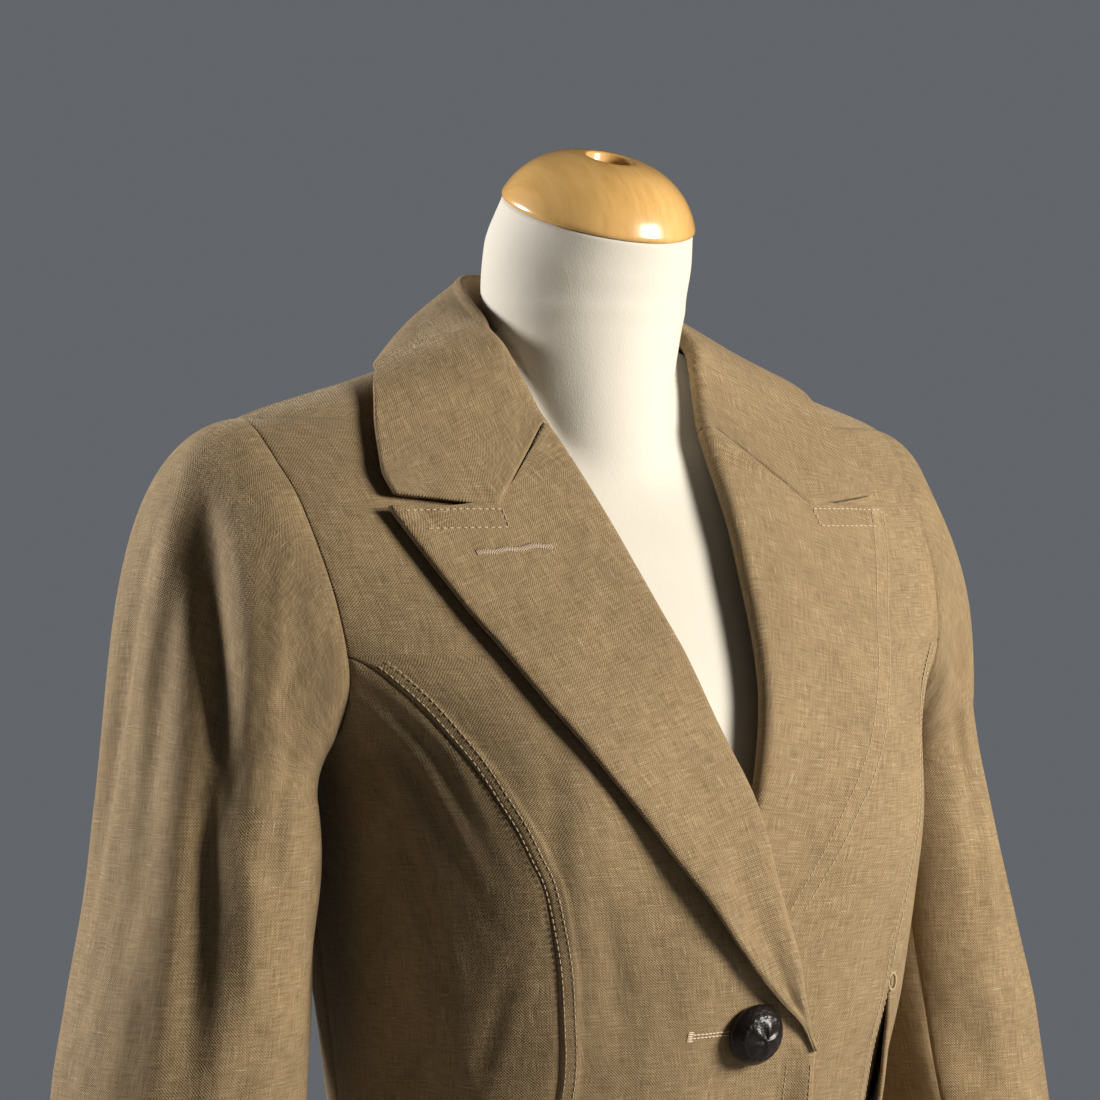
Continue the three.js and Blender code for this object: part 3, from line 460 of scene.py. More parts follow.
DETAIL = 5
body_rows = fine_rows(BODY_ROWS, DETAIL)
side_rows = fine_rows([PRINCESS_TOP_Z - 0.4] + [z for z in BODY_ROWS if z < PRINCESS_TOP_Z], DETAIL)
cloth = []
for side, word in SIDES:
    for name, rows, columns, start, end, relief in (
        ("front", body_rows, 13, front_edge(side), front_outer(side), front_relief),
        ("side_front", side_rows, 9, side_inner(side), side_outer, side_relief(side)),
        ("back", body_rows, 12, back_outer, lambda z: np.pi + 0 * z, plain_relief),
    ):
        body_panel(f"{name}_{word}", side, rows, columns * DETAIL, start, end, relief)

# Lapels and collar.
ROLL_TURNS = np.radians(np.linspace(-90, 90, 4 * DETAIL + 1))
LAPEL_TOP_Z = -88
# Below the middle, the edge of the upper lapel stands off the front.
LAPEL_STAND_OFF = {"z": -268, "height": 4, "half_length": 48}


def roll_points(side, z, height):
    radius = roll_radius(side, z)
    turn = ROLL_TURNS[None, :]
    x = roll_x(z) + radius - (radius + height) * np.cos(turn)
    out = radius - CAD_CLOTH / 2 + (radius + height) * np.sin(turn)
    return on_front(side, side * x, z + 0 * turn, out)


def bent_line(start, end, kink, u):
    """Line from start to end, drawn to the notch corner by a share."""
    bend = (NOTCH_CORNER[0] - start[0]) / (end[0] - start[0])
    straight = start[1] + (end[1] - start[1]) * bend
    corner = (NOTCH_CORNER[0], straight + (NOTCH_CORNER[1] - straight) * kink)
    first = np.clip(u / bend, 0, 1)
    second = np.clip((u - bend) / (1 - bend), 0, 1)
    return [
        np.where(u < bend, start[k] + (corner[k] - start[k]) * first,
                 corner[k] + (end[k] - corner[k]) * second)
        for k in (0, 1)
    ]


def edge_relief(distance):
    """Rolled free edge with a slightly raised band as far as the second row of stitching."""
    return -0.8 * bell(distance / 1.2) + 0.35 * smooth_step(13.2, 11.6, distance)


def lapel_grid(side, rows, break_z, height, relief):
    z = rows[:, None]
    t = (GORGE_Z - z) / (GORGE_Z - break_z)
    radius = roll_radius(side, z)
    start = (roll_x(z) + radius, z)
    edge_z = LAPEL_TOP_Z + (break_z - LAPEL_TOP_Z) * t**1.06
    end = (np.maximum(lapel_edge_x(edge_z), start[0] + 1), edge_z)
    kink = np.maximum(0, 1 - t * 5) ** 2
    top = 2 * radius - CAD_CLOTH / 2
    u = np.linspace(0, 1, 12 * DETAIL + 1)[None, 1:]
    bent = bent_line(start, end, kink, u)
    x, zz = (np.where(kink > 0, bent[k], start[k] + (end[k] - start[k]) * u) for k in (0, 1))
    settled = top - np.clip(top - 3.6, 0, 2.2) * smooth_step(0, 0.5, u)
    stands_off = LAPEL_STAND_OFF["height"] * (side < 0) * smooth_step(0.35, 1, u)
    settled = settled + stands_off * bell((z - LAPEL_STAND_OFF["z"]) / LAPEL_STAND_OFF["half_length"])
    width = np.hypot(end[0] - start[0], end[1] - start[1])
    lift = edge_relief((1 - u) * width) if relief else 0
    flat = on_front(side, side * x, zz, settled + height + lift)
    return np.concatenate([roll_points(side, z, height), flat], axis=1)


def lapel(side, word):
    break_z = BREAK_Z if side < 0 else LEFT_BREAK_Z
    rows = [z for z in BODY_ROWS if GORGE_Z >= z >= break_z + 8]
    rows = fine_rows(rows + [break_z + 1] if side < 0 else rows, DETAIL)
    half = FACED_CLOTH / 2
    outer = lapel_grid(side, rows, break_z, half, True)
    inner = lapel_grid(side, rows, break_z, -half, False)
    shell(f"lapel_{word}", outer, inner, turned=side < 0)
    return outer


lapel_grids = {word: lapel(side, word) for side, word in SIDES}

COLLAR_TABLE = [
    [84, 62, 5, 14, 86, -16],
    [100, 60.5, 18, 22, 96, -13],
    [118, 56, 33, 30, 111, -14],
    [136, 46, 49, 37, 130, -17.5],
    [158, 26, 62, 40, 155, -26],
    [180, 0, 66.5, 41, 180, -29],
]
collar_edge_x = curve([[0, 145], [0.3, 147], [0.6, 143], [0.8, 138.5], [1, 131]])
collar_edge_z = curve([[0, -82], [0.3, -73], [0.6, -56], [0.8, -40], [1, -25]])
COLLAR_STANDOFF = 5
FALL_STEPS = np.linspace(0, 1, 9 * DETAIL + 1)[1:]


def collar_front_line(side, z):
    t = (z - GORGE_Z) / (BODY_ROWS[0] - GORGE_Z)
    end = (collar_edge_x(t), collar_edge_z(t))
    start = (roll_x(z) + ROLL_RADIUS, z)
    kink = max(0, 1 - t * 2.4) ** 2
    seam = np.array([0.3, 0.45]) * smooth_step(0.08, 0, t)
    top = 2 * ROLL_RADIUS - CAD_CLOTH / 2
    x, zz = bent_line(start, end, kink, FALL_STEPS)
    height = top + (COLLAR_STANDOFF - top) * smooth_step(0, 0.6, FALL_STEPS)
    fall = on_front(side, side * (x + seam[0]), zz + seam[1], height)
    roll = roll_points(side, np.array([[float(z)]]), 0)[0] + np.array([0, 0, seam[1]])
    return np.concatenate([roll, fall])


def collar_back_line(side, row):
    base_angle, crest_x, crest_y, crest_z, edge_angle, edge_z = row
    bow = 3 * smooth_step(80, 120, base_angle) * np.sin(np.pi * FALL_STEPS)[:, None]
    base_angle, edge_angle = math.radians(base_angle), math.radians(edge_angle)
    neck_z = BODY_ROWS[0]
    base = body_point(base_angle, neck_z)
    up_cloth = unit(body_point(base_angle, neck_z + 3) - base)
    base = base - body_normal(base_angle, neck_z) * CAD_CLOTH / 2 + up_cloth * 1.7
    crest = np.array([crest_x, crest_y, crest_z], float)
    edge = body_point(edge_angle, edge_z) + body_normal(edge_angle, edge_z) * COLLAR_STANDOFF
    out = unit((edge - crest) * [1, 1, 0])
    inner = crest - out * 3.6 - [0, 0, 5]
    outer = crest + out * 4 - [0, 0, 3.4]
    low = base + (inner - base) * 0.4 - out * 0.6
    knots = np.array([base, low, inner, crest, outer])
    places = np.linspace(0, 4, len(ROLL_TURNS))
    roll = smooth_through(knots, places)
    fall = outer + (edge - outer) * FALL_STEPS[:, None] + out * bow + [[0, 0, 0.6]] * bow
    return np.concatenate([roll, fall]) * [side, 1, 1]


def smooth_through(values, places):
    """Catmull-Rom through evenly placed numbers or points."""
    padded = np.concatenate([[2 * values[0] - values[1]], values, [2 * values[-1] - values[-2]]])
    i = np.clip(np.floor(places).astype(int), 0, len(values) - 2)
    t = (places - i).reshape(-1, *[1] * (values.ndim - 1))
    a, b, c, d = (padded[i + k] for k in range(4))
    return 0.5 * (
        2 * b + (c - a) * t + (2 * a - 5 * b + 4 * c - d) * t**2 + (3 * b - a - 3 * c + d) * t**3
    )


def collar_middle():
    front_rows = [z for z in reversed(BODY_ROWS) if z >= GORGE_Z]
    halves = []
    for side in (-1, 1):
        front = [collar_front_line(side, z) for z in front_rows]
        halves.append(front + [collar_back_line(side, row) for row in COLLAR_TABLE])
    lines = np.array(halves[0] + halves[1][:-1][::-1])
    places = np.linspace(0, len(lines) - 1, (len(lines) - 1) * DETAIL + 1)
    return smooth_through(lines, places)


collar_grid = collar_middle()
collar_normals = -grid_normal(collar_grid)
from_edge = run_along(collar_grid[:, ::-1], 1)[:, ::-1]
collar_outer = collar_grid + collar_normals * (FACED_CLOTH / 2 + edge_relief(from_edge))[..., None]
collar_inner = collar_grid - collar_normals * FACED_CLOTH / 2
shell("collar", collar_outer, collar_inner, turned=True)

# Sleeves.
SLEEVE_COLUMNS = ["z", "inside", "outside", "front", "back"]
SLEEVE_TABLE = [
    [-225, 177, 261, -53, 88],
    [-273, 171, 270.5, -58, 83],
    [-320, 173, 283, -60, 76],
    [-370, 179, 295, -62, 66],
    [-440, 192, 299, -64, 50],
    [-520, 207, 300, -66, 32],
    [-585, 217, 301, -68, 18],
    [-620, 221, 302, -70, 12],
]
SLEEVE_FOLDS = [
    [50, -142, -0.3, 11, 80, 11], [60, -268, -0.05, 11, 75, 9],
    [94, -262, -0.04, 17, 48, -3], [128, -228, 0, 24, 50, -11],
    [20, -240, 0.03, 12, 100, 2.4], [-38, -170, -0.02, 13, 90, 4],
    [-80, -300, 0.03, 13, 80, 3.6], [110, -390, 0.1, 18, 26, 4],
    [122, -430, -0.1, 20, 22, 3.5], [10, -420, 0.05, 16, 50, 2.6],
]
FINE_SLEEVE_FOLDS = [
    [-1, -185, 0.07, 4.5, 80, 2.6], [17, -165, 0.03, 6, 80, -2.4],
    [-14, -215, 0.06, 5, 80, -1.2], [52, -84, -0.28, 4, 26, 1.3],
    [63, -104, -0.3, 3.6, 24, 1.2], [72, -140, -0.2, 4.5, 30, 1.3],
    [80, -118, -0.25, 4, 26, 0.9], [82, -186, -0.2, 5, 28, 1.4],
    [74, -212, 0.3, 4.5, 22, 1.5], [92, -168, 0.15, 5, 34, 1],
    [96, -232, 0.22, 5, 28, 1.3], [78, -300, -0.12, 5, 42, 1.3],
    [88, -352, 0.1, 6, 40, 1.2], [38, -330, -0.05, 6, 60, 1],
    [4, -300, 0.05, 5, 60, 1.1], [-26, -390, -0.03, 6, 70, 1],
    [-60, -230, 0.04, 6, 60, 1.2], [-100, -260, -0.04, 7, 60, 1.2],
    [30, -470, 0.05, 7, 60, 1], [70, -520, -0.05, 8, 60, 1],
    [140, -300, 0.05, 8, 60, 1.2],
]
# Pleats at the front of the left armhole, where the sleeve is drawn back.
LEFT_SLEEVE_FOLDS = [
    [114, -161, -0.9, 7, 12, 3.2], [126, -186, -0.6, 6, 12, 2.8],
    [102, -172, 0.5, 6, 16, 1.6], [96, -250, 0.1, 8, 40, 1.6],
]
sleeve = column_curves(SLEEVE_COLUMNS, SLEEVE_TABLE)
# The left arm hangs a little slimmer than the right one.
left_arm_tuck = curve([
    [-225, 11], [-273, 10.5], [-320, 11], [-370, 12], [-440, 10], [-520, 7], [-620, 3],
])
ARMHOLE_MIDDLE_Z = (SHOULDER_TIP_Z + ARMPIT_Z) / 2
ARMHOLE_HALF = (SHOULDER_TIP_Z - ARMPIT_Z) / 2
HEAD_END_Z = SLEEVE_TABLE[0][0]
CUFF_Z = HEM_Z + 10
SLEEVE_SEAM_Z = -184
SLEEVE_TUCK_IN = 0.8


def sleeve_ring(side, phi, z):
    c, s = np.cos(phi), np.sin(phi)
    outside = sleeve["outside"](z) - (side > 0) * left_arm_tuck(z)
    middle_x = sleeve["inside"](z) * 0.52 + outside * 0.48
    middle_y = (sleeve["front"](z) + sleeve["back"](z)) / 2
    reach_x = np.where(c > 0, outside - middle_x, middle_x - sleeve["inside"](z))
    reach_y = (sleeve["back"](z) - sleeve["front"](z)) / 2
    power = 2 / 2.15
    x = middle_x + np.sign(c) * reach_x * np.abs(c) ** power
    y = middle_y - np.sign(s) * reach_y * np.abs(s) ** power
    return np.stack(np.broadcast_arrays(x, y, z + 0 * x), -1)


def armhole_point(phi):
    z = ARMHOLE_MIDDLE_Z + ARMHOLE_HALF * np.cos(phi)
    front = angle_at(armhole_front_x(z), z)
    back = angle_at(armhole_back_x(z), z, True)
    angle = np.where(np.sin(phi) < 0, back, front)
    return body_point(np.where(np.abs(np.cos(phi)) > 0.99999, np.pi / 2, angle), z)


def creased(side, point, phi, amount):
    degrees = np.degrees(np.arctan2(np.sin(phi), np.cos(phi)))
    z = point[..., 2]
    folds = SLEEVE_FOLDS + FINE_SLEEVE_FOLDS + (LEFT_SLEEVE_FOLDS if side > 0 else [])
    depth = amount * fold_depth(folds, degrees, z, 1, ridge=0.4, ridge_at=1.8)
    return point + np.stack([-depth * np.cos(phi), depth * np.sin(phi), 0 * depth], -1)


def sleeve_point(side, phi, down):
    phi, down = np.broadcast_arrays(np.asarray(phi, float), np.asarray(down, float))
    low_z = HEAD_END_Z + (CUFF_Z - HEAD_END_Z) * np.maximum(down - 1, 0)
    lower = creased(side, sleeve_ring(side, phi, low_z), phi, 1)
    start = armhole_point(phi)
    end = sleeve_ring(side, phi, HEAD_END_Z + 0 * phi)
    outside = (1 + np.cos(phi)) / 2
    rise = -0.03 if side < 0 else -0.2
    leave = unit(np.stack(
        [outside + 0.42 * (1 - outside), -0.3 * np.sin(phi), rise * outside - (1 - outside)], -1
    ))
    onward = unit(sleeve_ring(side, phi, HEAD_END_Z - 8 + 0 * phi) - end)
    reach = np.linalg.norm(start - end, axis=-1)[..., None]
    start = start - leave * SLEEVE_TUCK_IN
    a = start + leave * reach * (0.14 + 0.16 * outside)[..., None]
    b = end - onward * reach * 0.36
    t = np.clip(down, 0, 1)[..., None]
    head = start * (1 - t) ** 3 + 3 * a * t * (1 - t) ** 2 + 3 * b * t**2 * (1 - t) + end * t**3
    head = creased(side, head, phi, smooth_step(0.05, 0.5, down))
    return np.where(down[..., None] >= 1, lower, head)


def sleeve_normal(side, phi, down):
    a, d = 0.01, 0.004
    around = sleeve_point(side, phi + a, down) - sleeve_point(side, phi - a, down)
    along = sleeve_point(side, phi, down + d) - sleeve_point(side, phi, np.maximum(down - d, 0))
    return unit(np.cross(around, along))


def sleeve_piece(name, side, low, high, columns):
    inset = SEAM_GAP / 50
    phi = np.linspace(low + inset, high - inset, columns)[None, :]
    head = np.linspace(0, 1, 11 * DETAIL, endpoint=False) ** 1.25
    down = np.concatenate([head, np.linspace(1, 2, 22 * DETAIL + 1)])[:, None]
    normal = sleeve_normal(side, phi, down)
    point = sleeve_point(side, phi, down)
    run = run_along(point, 1)
    height = seam_dip(run, 0.7) + seam_dip(run[:, -1:] - run, 0.7)
    height = height - 0.3 * bell(down / 0.015) - 0.6 * bell((down - 2) / 0.006)
    outer = (point + normal * height[..., None]) * [side, 1, 1]
    inner = (point - normal * CLOTH) * [side, 1, 1]
    shell(name, outer, inner, turned=side < 0)


seam_phi = math.acos((SLEEVE_SEAM_Z - ARMHOLE_MIDDLE_Z) / ARMHOLE_HALF)
for side, word in SIDES:
    sleeve_piece(f"sleeve_top_{word}", side, -seam_phi, seam_phi, 26 * DETAIL)
    around = 2 * math.pi - seam_phi
    sleeve_piece(f"sleeve_under_{word}", side, seam_phi, around, 13 * DETAIL)

# Stitches, each a small spindle lying on the cloth.
THREAD_RADIUS = 0.3
STITCH_LENGTH = 2.5
STITCH_PITCH = 3.3
SPINDLE_RINGS = [(-0.5, 0.25), (-0.32, 0.9), (0, 1), (0.32, 0.9), (0.5, 0.25)]
SPINDLE_SIDES = 6
SPINDLE_LIFT = 0.3


def at_run(place, run, points):
    return np.stack([np.interp(place, run, points[:, k]) for k in range(3)], -1)


def resample(line, up, pitch):
    run = run_along(line)
    count = max(2, int(run[-1] / pitch))
    places = (np.arange(count) + 0.5) * run[-1] / count
    along = unit(at_run(places + 0.4, run, line) - at_run(places - 0.4, run, line))
    return at_run(places, run, line), along, unit(at_run(places, run, up))


def stitched(
    name, rows, length=STITCH_LENGTH, pitch=STITCH_PITCH, radius=THREAD_RADIUS, slant=0.0
):
    """Piece with the stitches along each (line, normals) row."""
    place, size = np.array(SPINDLE_RINGS).T[:, :, None, None]
    turn = 2 * np.pi * np.arange(SPINDLE_SIDES)[:, None] / SPINDLE_SIDES
    points = []
    for line, up in rows:
        centres, along, normal = resample(np.asarray(line), np.asarray(up), pitch)
        across = unit(np.cross(normal, along))
        lay = unit(along * math.cos(slant) + across * math.sin(slant))
        cross = unit(np.cross(normal, lay))
        seat = centres + normal * radius * SPINDLE_LIFT
        s, a, n, c = (vectors[:, None, None] for vectors in (seat, lay, normal, cross))
        ring = radius * size * (np.cos(turn) * c + np.sin(turn) * n)
        points.append(s + a * place * length + ring)
    points = np.concatenate(points)
    ids = np.arange(points[..., 0].size).reshape(points.shape[:3])
    faces = ring_faces(ids)[:, ::-1].tolist() + ids[:, 0, ::-1].tolist() + ids[:, -1].tolist()
    return set_mesh(name, points.reshape(-1, 3), faces)


def grid_at(grid, normals, row_line, from_end):
    """Line over a grid at a distance from its last column, with its normals."""
    line, up = [], []
    for row in row_line:
        points, nearby = grid[row, ::-1], normals[row, ::-1]
        run = run_along(points)
        if run[-1] >= from_end:
            line.append(at_run(from_end, run, points))
            up.append(at_run(from_end, run, nearby))
    return np.array(line), np.array(up)


def surface_line(side, places, height):
    """Line over the worn cloth through (x, z) places, with its normals."""
    places = np.asarray(places, float)
    angle = side * angle_at(places[:, 0], places[:, 1])
    return on_cloth(side, angle, places[:, 1], height), body_normal(angle, places[:, 1])


def princess_row(side, offset, raised):
    z = np.linspace(PRINCESS_TOP_Z - 6, HEM_Z + 6, 320)
    angle = princess_angle(side, z, -1) - offset / body["width"](z)
    slope = np.gradient(princess_x(z), z)
    z_shift = offset * slope / np.hypot(1, slope) * 0.5
    places = np.stack([np.abs(body_point(angle, z)[:, 0]), z + z_shift], -1)
    return surface_line(side, places, raised)


def outward(grid, side):
    normals = grid_normal(grid)
    return normals * np.sign((normals * body_normal(side * 0.6, -200)).sum(-1).mean())


BLEND_REACH = 1.6


def over_grid(grid, normals, places, raised=0.1):
    """Line over a dense grid through (x, z) places, blended from the nearest points."""
    flat, nearby = grid.reshape(-1, 3), normals.reshape(-1, 3)
    away = np.asarray(places)[:, None] - flat[None, :, [0, 2]]
    weight = bell(np.linalg.norm(away, axis=-1) / BLEND_REACH)
    weight = weight / weight.sum(axis=1, keepdims=True)
    up = unit(weight @ nearby)
    return weight @ flat + raised * up, up


def between(first, last, count=40):
    return np.linspace(first, last, count)


def notch_ends(line):
    """Where the top edge of a lapel, or the lower edge of the collar, has its tip and corner."""
    fall = line[len(ROLL_TURNS) :, [0, 2]]
    return fall[-1], fall[np.argmin(np.abs(np.abs(fall[:, 0]) - NOTCH_CORNER[0]))]


TOP_STITCH_NEAR = 2.4
TOP_STITCH_FAR = 11
PRINCESS_STITCH = (3.2, 9.2)
LEFT_FRONT_ROW_TOP_Z = -330
sewing, notch_rows, button_stitches = [], [], []
for side, word in SIDES:
    grid = lapel_grids[word]
    normals = outward(grid, side)
    edge_rows = range(3, len(grid) - 3)
    rows = []
    if side > 0:
        rows = [grid_at(grid, normals, edge_rows, d) for d in (TOP_STITCH_NEAR, TOP_STITCH_FAR)]
    tip, corner = notch_ends(grid[0])
    near, far = (corner - [0, d] for d in (TOP_STITCH_NEAR, TOP_STITCH_FAR))
    for first, last in (
        (tip - [side * 6, TOP_STITCH_NEAR], near),
        (tip - [side * 14, TOP_STITCH_FAR], far),
        (near, far),
    ):
        notch_rows.append(over_grid(grid, normals, between(first, last)))
    rows += [princess_row(side, d, PRINCESS_RAISE) for d in PRINCESS_STITCH]
    z = np.linspace(BREAK_Z - 6 if side < 0 else LEFT_FRONT_ROW_TOP_Z, HEM_Z + 8, 160)
    for distance in (TOP_STITCH_NEAR, TOP_STITCH_FAR):
        edge = front_edge(side)(z) + distance / body["width"](z)
        x = np.abs(body_point(edge, z)[:, 0]) * np.sign(edge)
        rows.append(surface_line(side, np.stack([x, z], -1), 0))
    sewing.append(stitched(f"stitching_{word}", rows))

for side, line in ((1, collar_outer[-1]), (-1, collar_outer[0])):
    tip, corner = notch_ends(line)
    for distance, inset, past in ((TOP_STITCH_NEAR, 4, 2), (TOP_STITCH_FAR, 6, -2)):
        places = between(tip + [-side * inset, distance], corner + [side * past, distance])
        notch_rows.append(over_grid(collar_outer, collar_normals, places, 0.45))
sewing.append(stitched("stitching_notches", notch_rows, radius=0.34))

# Buttonholes: close stitches across the slit in the lapel, two rows and a bar in the front.
LAPEL_BUTTONHOLE = ((-116, -107.7), (-76, -104.2))
FRONT_BUTTONHOLES_Z = (-337, -436)
FRONT_BUTTONHOLE_END = 35
HALF_SLIT = 0.8
HALF_BAR = 2.6
grid = lapel_grids["right"]
bars = [over_grid(grid, outward(grid, -1), between(*LAPEL_BUTTONHOLE))]
for z in FRONT_BUTTONHOLES_Z:
    for offset in (-HALF_SLIT, HALF_SLIT):
        places = between((FRONT_BUTTONHOLE_END, z + offset), (-BUTTON_X, z + offset))
        button_stitches.append(surface_line(-1, places, 0))
    bar_x = FRONT_BUTTONHOLE_END + 1
    bars.append(surface_line(-1, [(bar_x, z - HALF_BAR), (bar_x, z + HALF_BAR)], 0))
sewing.append(stitched("buttonhole_rows", button_stitches, length=2, pitch=2.1, radius=0.4))
sewing.append(stitched(
    "buttonhole_bars", bars, length=3.4, pitch=0.85, radius=0.33, slant=math.pi / 2
))


def thread_ring(name, centre, across, up, half_width, half_height, radius):
    """Loop of thread, a ring of round section."""
    turn = np.linspace(0, 2 * np.pi, 48, endpoint=False)[:, None, None]
    section = np.linspace(0, 2 * np.pi, 10, endpoint=False)[None, :, None]
    spoke = np.cos(turn) * across + np.sin(turn) * up
    middle = centre + half_width * np.cos(turn) * across + half_height * np.sin(turn) * up
    out = np.cross(across, up)
    points = middle + radius * (np.cos(section) * spoke + np.sin(section) * out)
    ids = np.arange(480).reshape(48, 10)
    faces = ring_faces(np.concatenate([ids, ids[:1]])).tolist()
    return set_mesh(name, points.reshape(-1, 3), faces)


loop_z = POCKET_TOP_Z + 2.5
loop_seat, loop_out = (found[0] for found in surface_line(1, [(princess_x(loop_z), loop_z)], 1.3))
loop_out = unit(loop_out + [-0.5, -0.7, 0])
loop_across = unit(np.cross([0, 0, 1.0], loop_out))
sewing.append(thread_ring(
    "pocket_bar_loop", loop_seat, loop_across, np.cross(loop_out, loop_across), 2.2, 4.4, 0.8
))

# Pocket facing behind the open mouth in the left princess seam.
z = np.linspace(POCKET_TOP_Z + 3, POCKET_BOTTOM_Z - 3, 60)[:, None]
u = np.linspace(-1, 1, 17)[None, :]
angle = angle_at(princess_x(z), z) + u * 15 / body["width"](z)
sink = -CAD_CLOTH - 0.5 - 1.6 * (1 - u * u) + 0 * z
shell(
    "pocket_facing", on_cloth(1, angle, z, sink), on_cloth(1, angle, z, sink - 1.2),
    node="pocket_facing_left",
)


def fill(tree, node, inputs):
    """Set each input of a node to a value, or feed it from another node's output."""
    for key, value in inputs.items():
        if isinstance(value, bpy.types.NodeSocket):
            tree.links.new(value, node.inputs[key])
        else:
            node.inputs[key].default_value = value


def add(tree, kind, inputs, output=0, **settings):
    """Output of a new node."""
    node = tree.nodes.new("ShaderNode" + kind)
    for key, value in settings.items():
        setattr(node, key, value)
    fill(tree, node, inputs)
    return node.outputs[output]


def noise(tree, vector, scale, detail=2.0, roughness=0.5):
    """Noise, stretched by a scale in each direction."""
    place = add(tree, "Mapping", {"Vector": vector, "Scale": scale})
    inputs = {"Vector": place, "Scale": 1, "Detail": detail, "Roughness": roughness}
    return add(tree, "TexNoise", inputs, "Fac")


def calculate(tree, operation, *values, clamp=False):
    return add(tree, "Math", dict(enumerate(values)), operation=operation, use_clamp=clamp)


def mix(tree, blend, share, first, second):
    return add(tree, "MixRGB", {0: share, 1: first, 2: second}, blend_type=blend)


def bump(tree, height, strength, distance, under=None):
    inputs = {"Height": height, "Strength": strength, "Distance": distance}
    if under:
        inputs["Normal"] = under
    return add(tree, "Bump", inputs, "Normal")


def ramp(tree, value, stops):
    node = tree.nodes.new("ShaderNodeValToRGB")
    elements = node.color_ramp.elements
    while len(elements) < len(stops):
        elements.new(0.5)
    for element, (place, colour) in zip(elements, stops):
        element.position = place
        element.color = (*colour, 1)
    tree.links.new(value, node.inputs["Fac"])
    return node.outputs["Color"]


def material(name, colour, roughness):
    """New material with its node tree and its shader."""
    made = bpy.data.materials.new(name)
    made.use_nodes = True
    tree = made.node_tree
    shader = tree.nodes["Principled BSDF"]
    fill(tree, shader, {"Base Color": (*colour, 1), "Roughness": roughness})
    return made, tree, shader


# Pitch of the threads, in metres, and bands in a unit of the wave texture's scale.
THREAD = 0.00072
WAVE_BANDS = 3.1831
SLUB_COLOUR = (0.56, 0.45, 0.30, 1)


def linen_material():
    made, tree, shader = material("linen", (0.26, 0.18, 0.095), 0.82)
    uv = add(tree, "UVMap", {}, "UV", uv_map="cloth")
    wobble = add(tree, "TexNoise", {"Scale": 140, "Vector": uv}, "Color")
    shift = {0: wobble, 1: (0.0016, 0.0016, 0), 2: uv}
    cloth_uv = add(tree, "VectorMath", shift, operation="MULTIPLY_ADD")
    bands = {
        "Vector": cloth_uv, "Scale": 1 / THREAD / WAVE_BANDS / 2, "Distortion": 0.6, "Detail": 1,
    }
    waves = [
        add(tree, "TexWave", bands, "Fac", bands_direction=direction) for direction in "XY"
    ]
    checks = calculate(tree, "MULTIPLY", *waves)
    weave = calculate(tree, "SUBTRACT", calculate(tree, "MAXIMUM", *waves), checks)
    warp = noise(tree, cloth_uv, (1 / THREAD, 85, 1), 1.5)
    weft = noise(tree, cloth_uv, (85, 1 / THREAD, 1), 1.5)
    threads = calculate(tree, "MULTIPLY", calculate(tree, "ADD", warp, weft), 0.5)
    slub_warp = noise(tree, cloth_uv, (900, 80, 1), 1)
    slub_weft = noise(tree, cloth_uv, (80, 900, 1), 1)
    slubs = calculate(tree, "MAXIMUM", slub_warp, slub_weft)
    slubs = calculate(tree, "SUBTRACT", slubs, 0.66, clamp=True)
    base = ramp(tree, threads, [
        (0.30, (0.165, 0.110, 0.052)),
        (0.50, (0.262, 0.183, 0.095)),
        (0.70, (0.370, 0.270, 0.152)),
    ])
    tone = calculate(tree, "MULTIPLY_ADD", noise(tree, cloth_uv, (22, 22, 1), 4), 0.5, 0.78)
    gaps = ramp(tree, weave, [(0.0, (0.72, 0.69, 0.65)), (0.55, (1.06, 1.06, 1.06))])
    woven = mix(tree, "MULTIPLY", 0.85, mix(tree, "MULTIPLY", 1, base, tone), gaps)
    slub_share = calculate(tree, "MULTIPLY", slubs, 3.2, clamp=True)
    height = calculate(tree, "MULTIPLY_ADD", slubs, 2.5, calculate(tree, "ADD", weave, threads))
    rumple = noise(tree, uv, (70, 45, 1), 4)
    fill(tree, shader, {
        "Base Color": mix(tree, "MIX", slub_share, woven, SLUB_COLOUR),
        "Normal": bump(tree, rumple, 0.6, 0.0016, bump(tree, height, 0.6, 0.0004)),
        "Sheen Weight": 0.25,
        "Sheen Roughness": 0.4,
        "Sheen Tint": (0.95, 0.86, 0.7, 1),
        "Specular IOR Level": 0.25,
    })
    return made


def jersey_material():
    made, tree, shader = material("form_jersey", (0.62, 0.58, 0.50), 0.85)
    place = add(tree, "TexCoord", {}, "Object")
    fine = bump(tree, noise(tree, place, (1900, 1900, 700)), 0.35, 0.0004)
    soft = noise(tree, place, (30, 30, 14), 3)
    fill(tree, shader, {"Normal": bump(tree, soft, 0.2, 0.003, fine), "Sheen Weight": 0.1})
    return made


def wood_material():
    made, tree, shader = material("form_wood", (0.62, 0.30, 0.075), 0.26)
    place = add(tree, "TexCoord", {}, "Object")
    grain = noise(tree, place, (260, 22, 60), 4, 0.6)
    rings = noise(tree, place, (34, 6, 12))
    mixed = calculate(tree, "MULTIPLY", calculate(tree, "ADD", grain, rings), 0.5)
    colour = ramp(tree, mixed, [
        (0.35, (0.56, 0.31, 0.095)), (0.5, (0.66, 0.39, 0.13)), (0.66, (0.73, 0.45, 0.165)),
    ])
    fill(tree, shader, {"Base Color": colour, "Coat Weight": 0.55, "Coat Roughness": 0.12})
    return made


def leather_material():
    made, tree, shader = material("button_leather", (0.008, 0.005, 0.004), 0.36)
    grain = noise(tree, add(tree, "TexCoord", {}, "Object"), (700, 700, 700), 3)
    fill(tree, shader, {
        "Normal": bump(tree, grain, 0.55, 0.0006),
        "Specular IOR Level": 0.35,
        "Coat Weight": 0.12,
        "Coat Roughness": 0.14,
    })
    return made


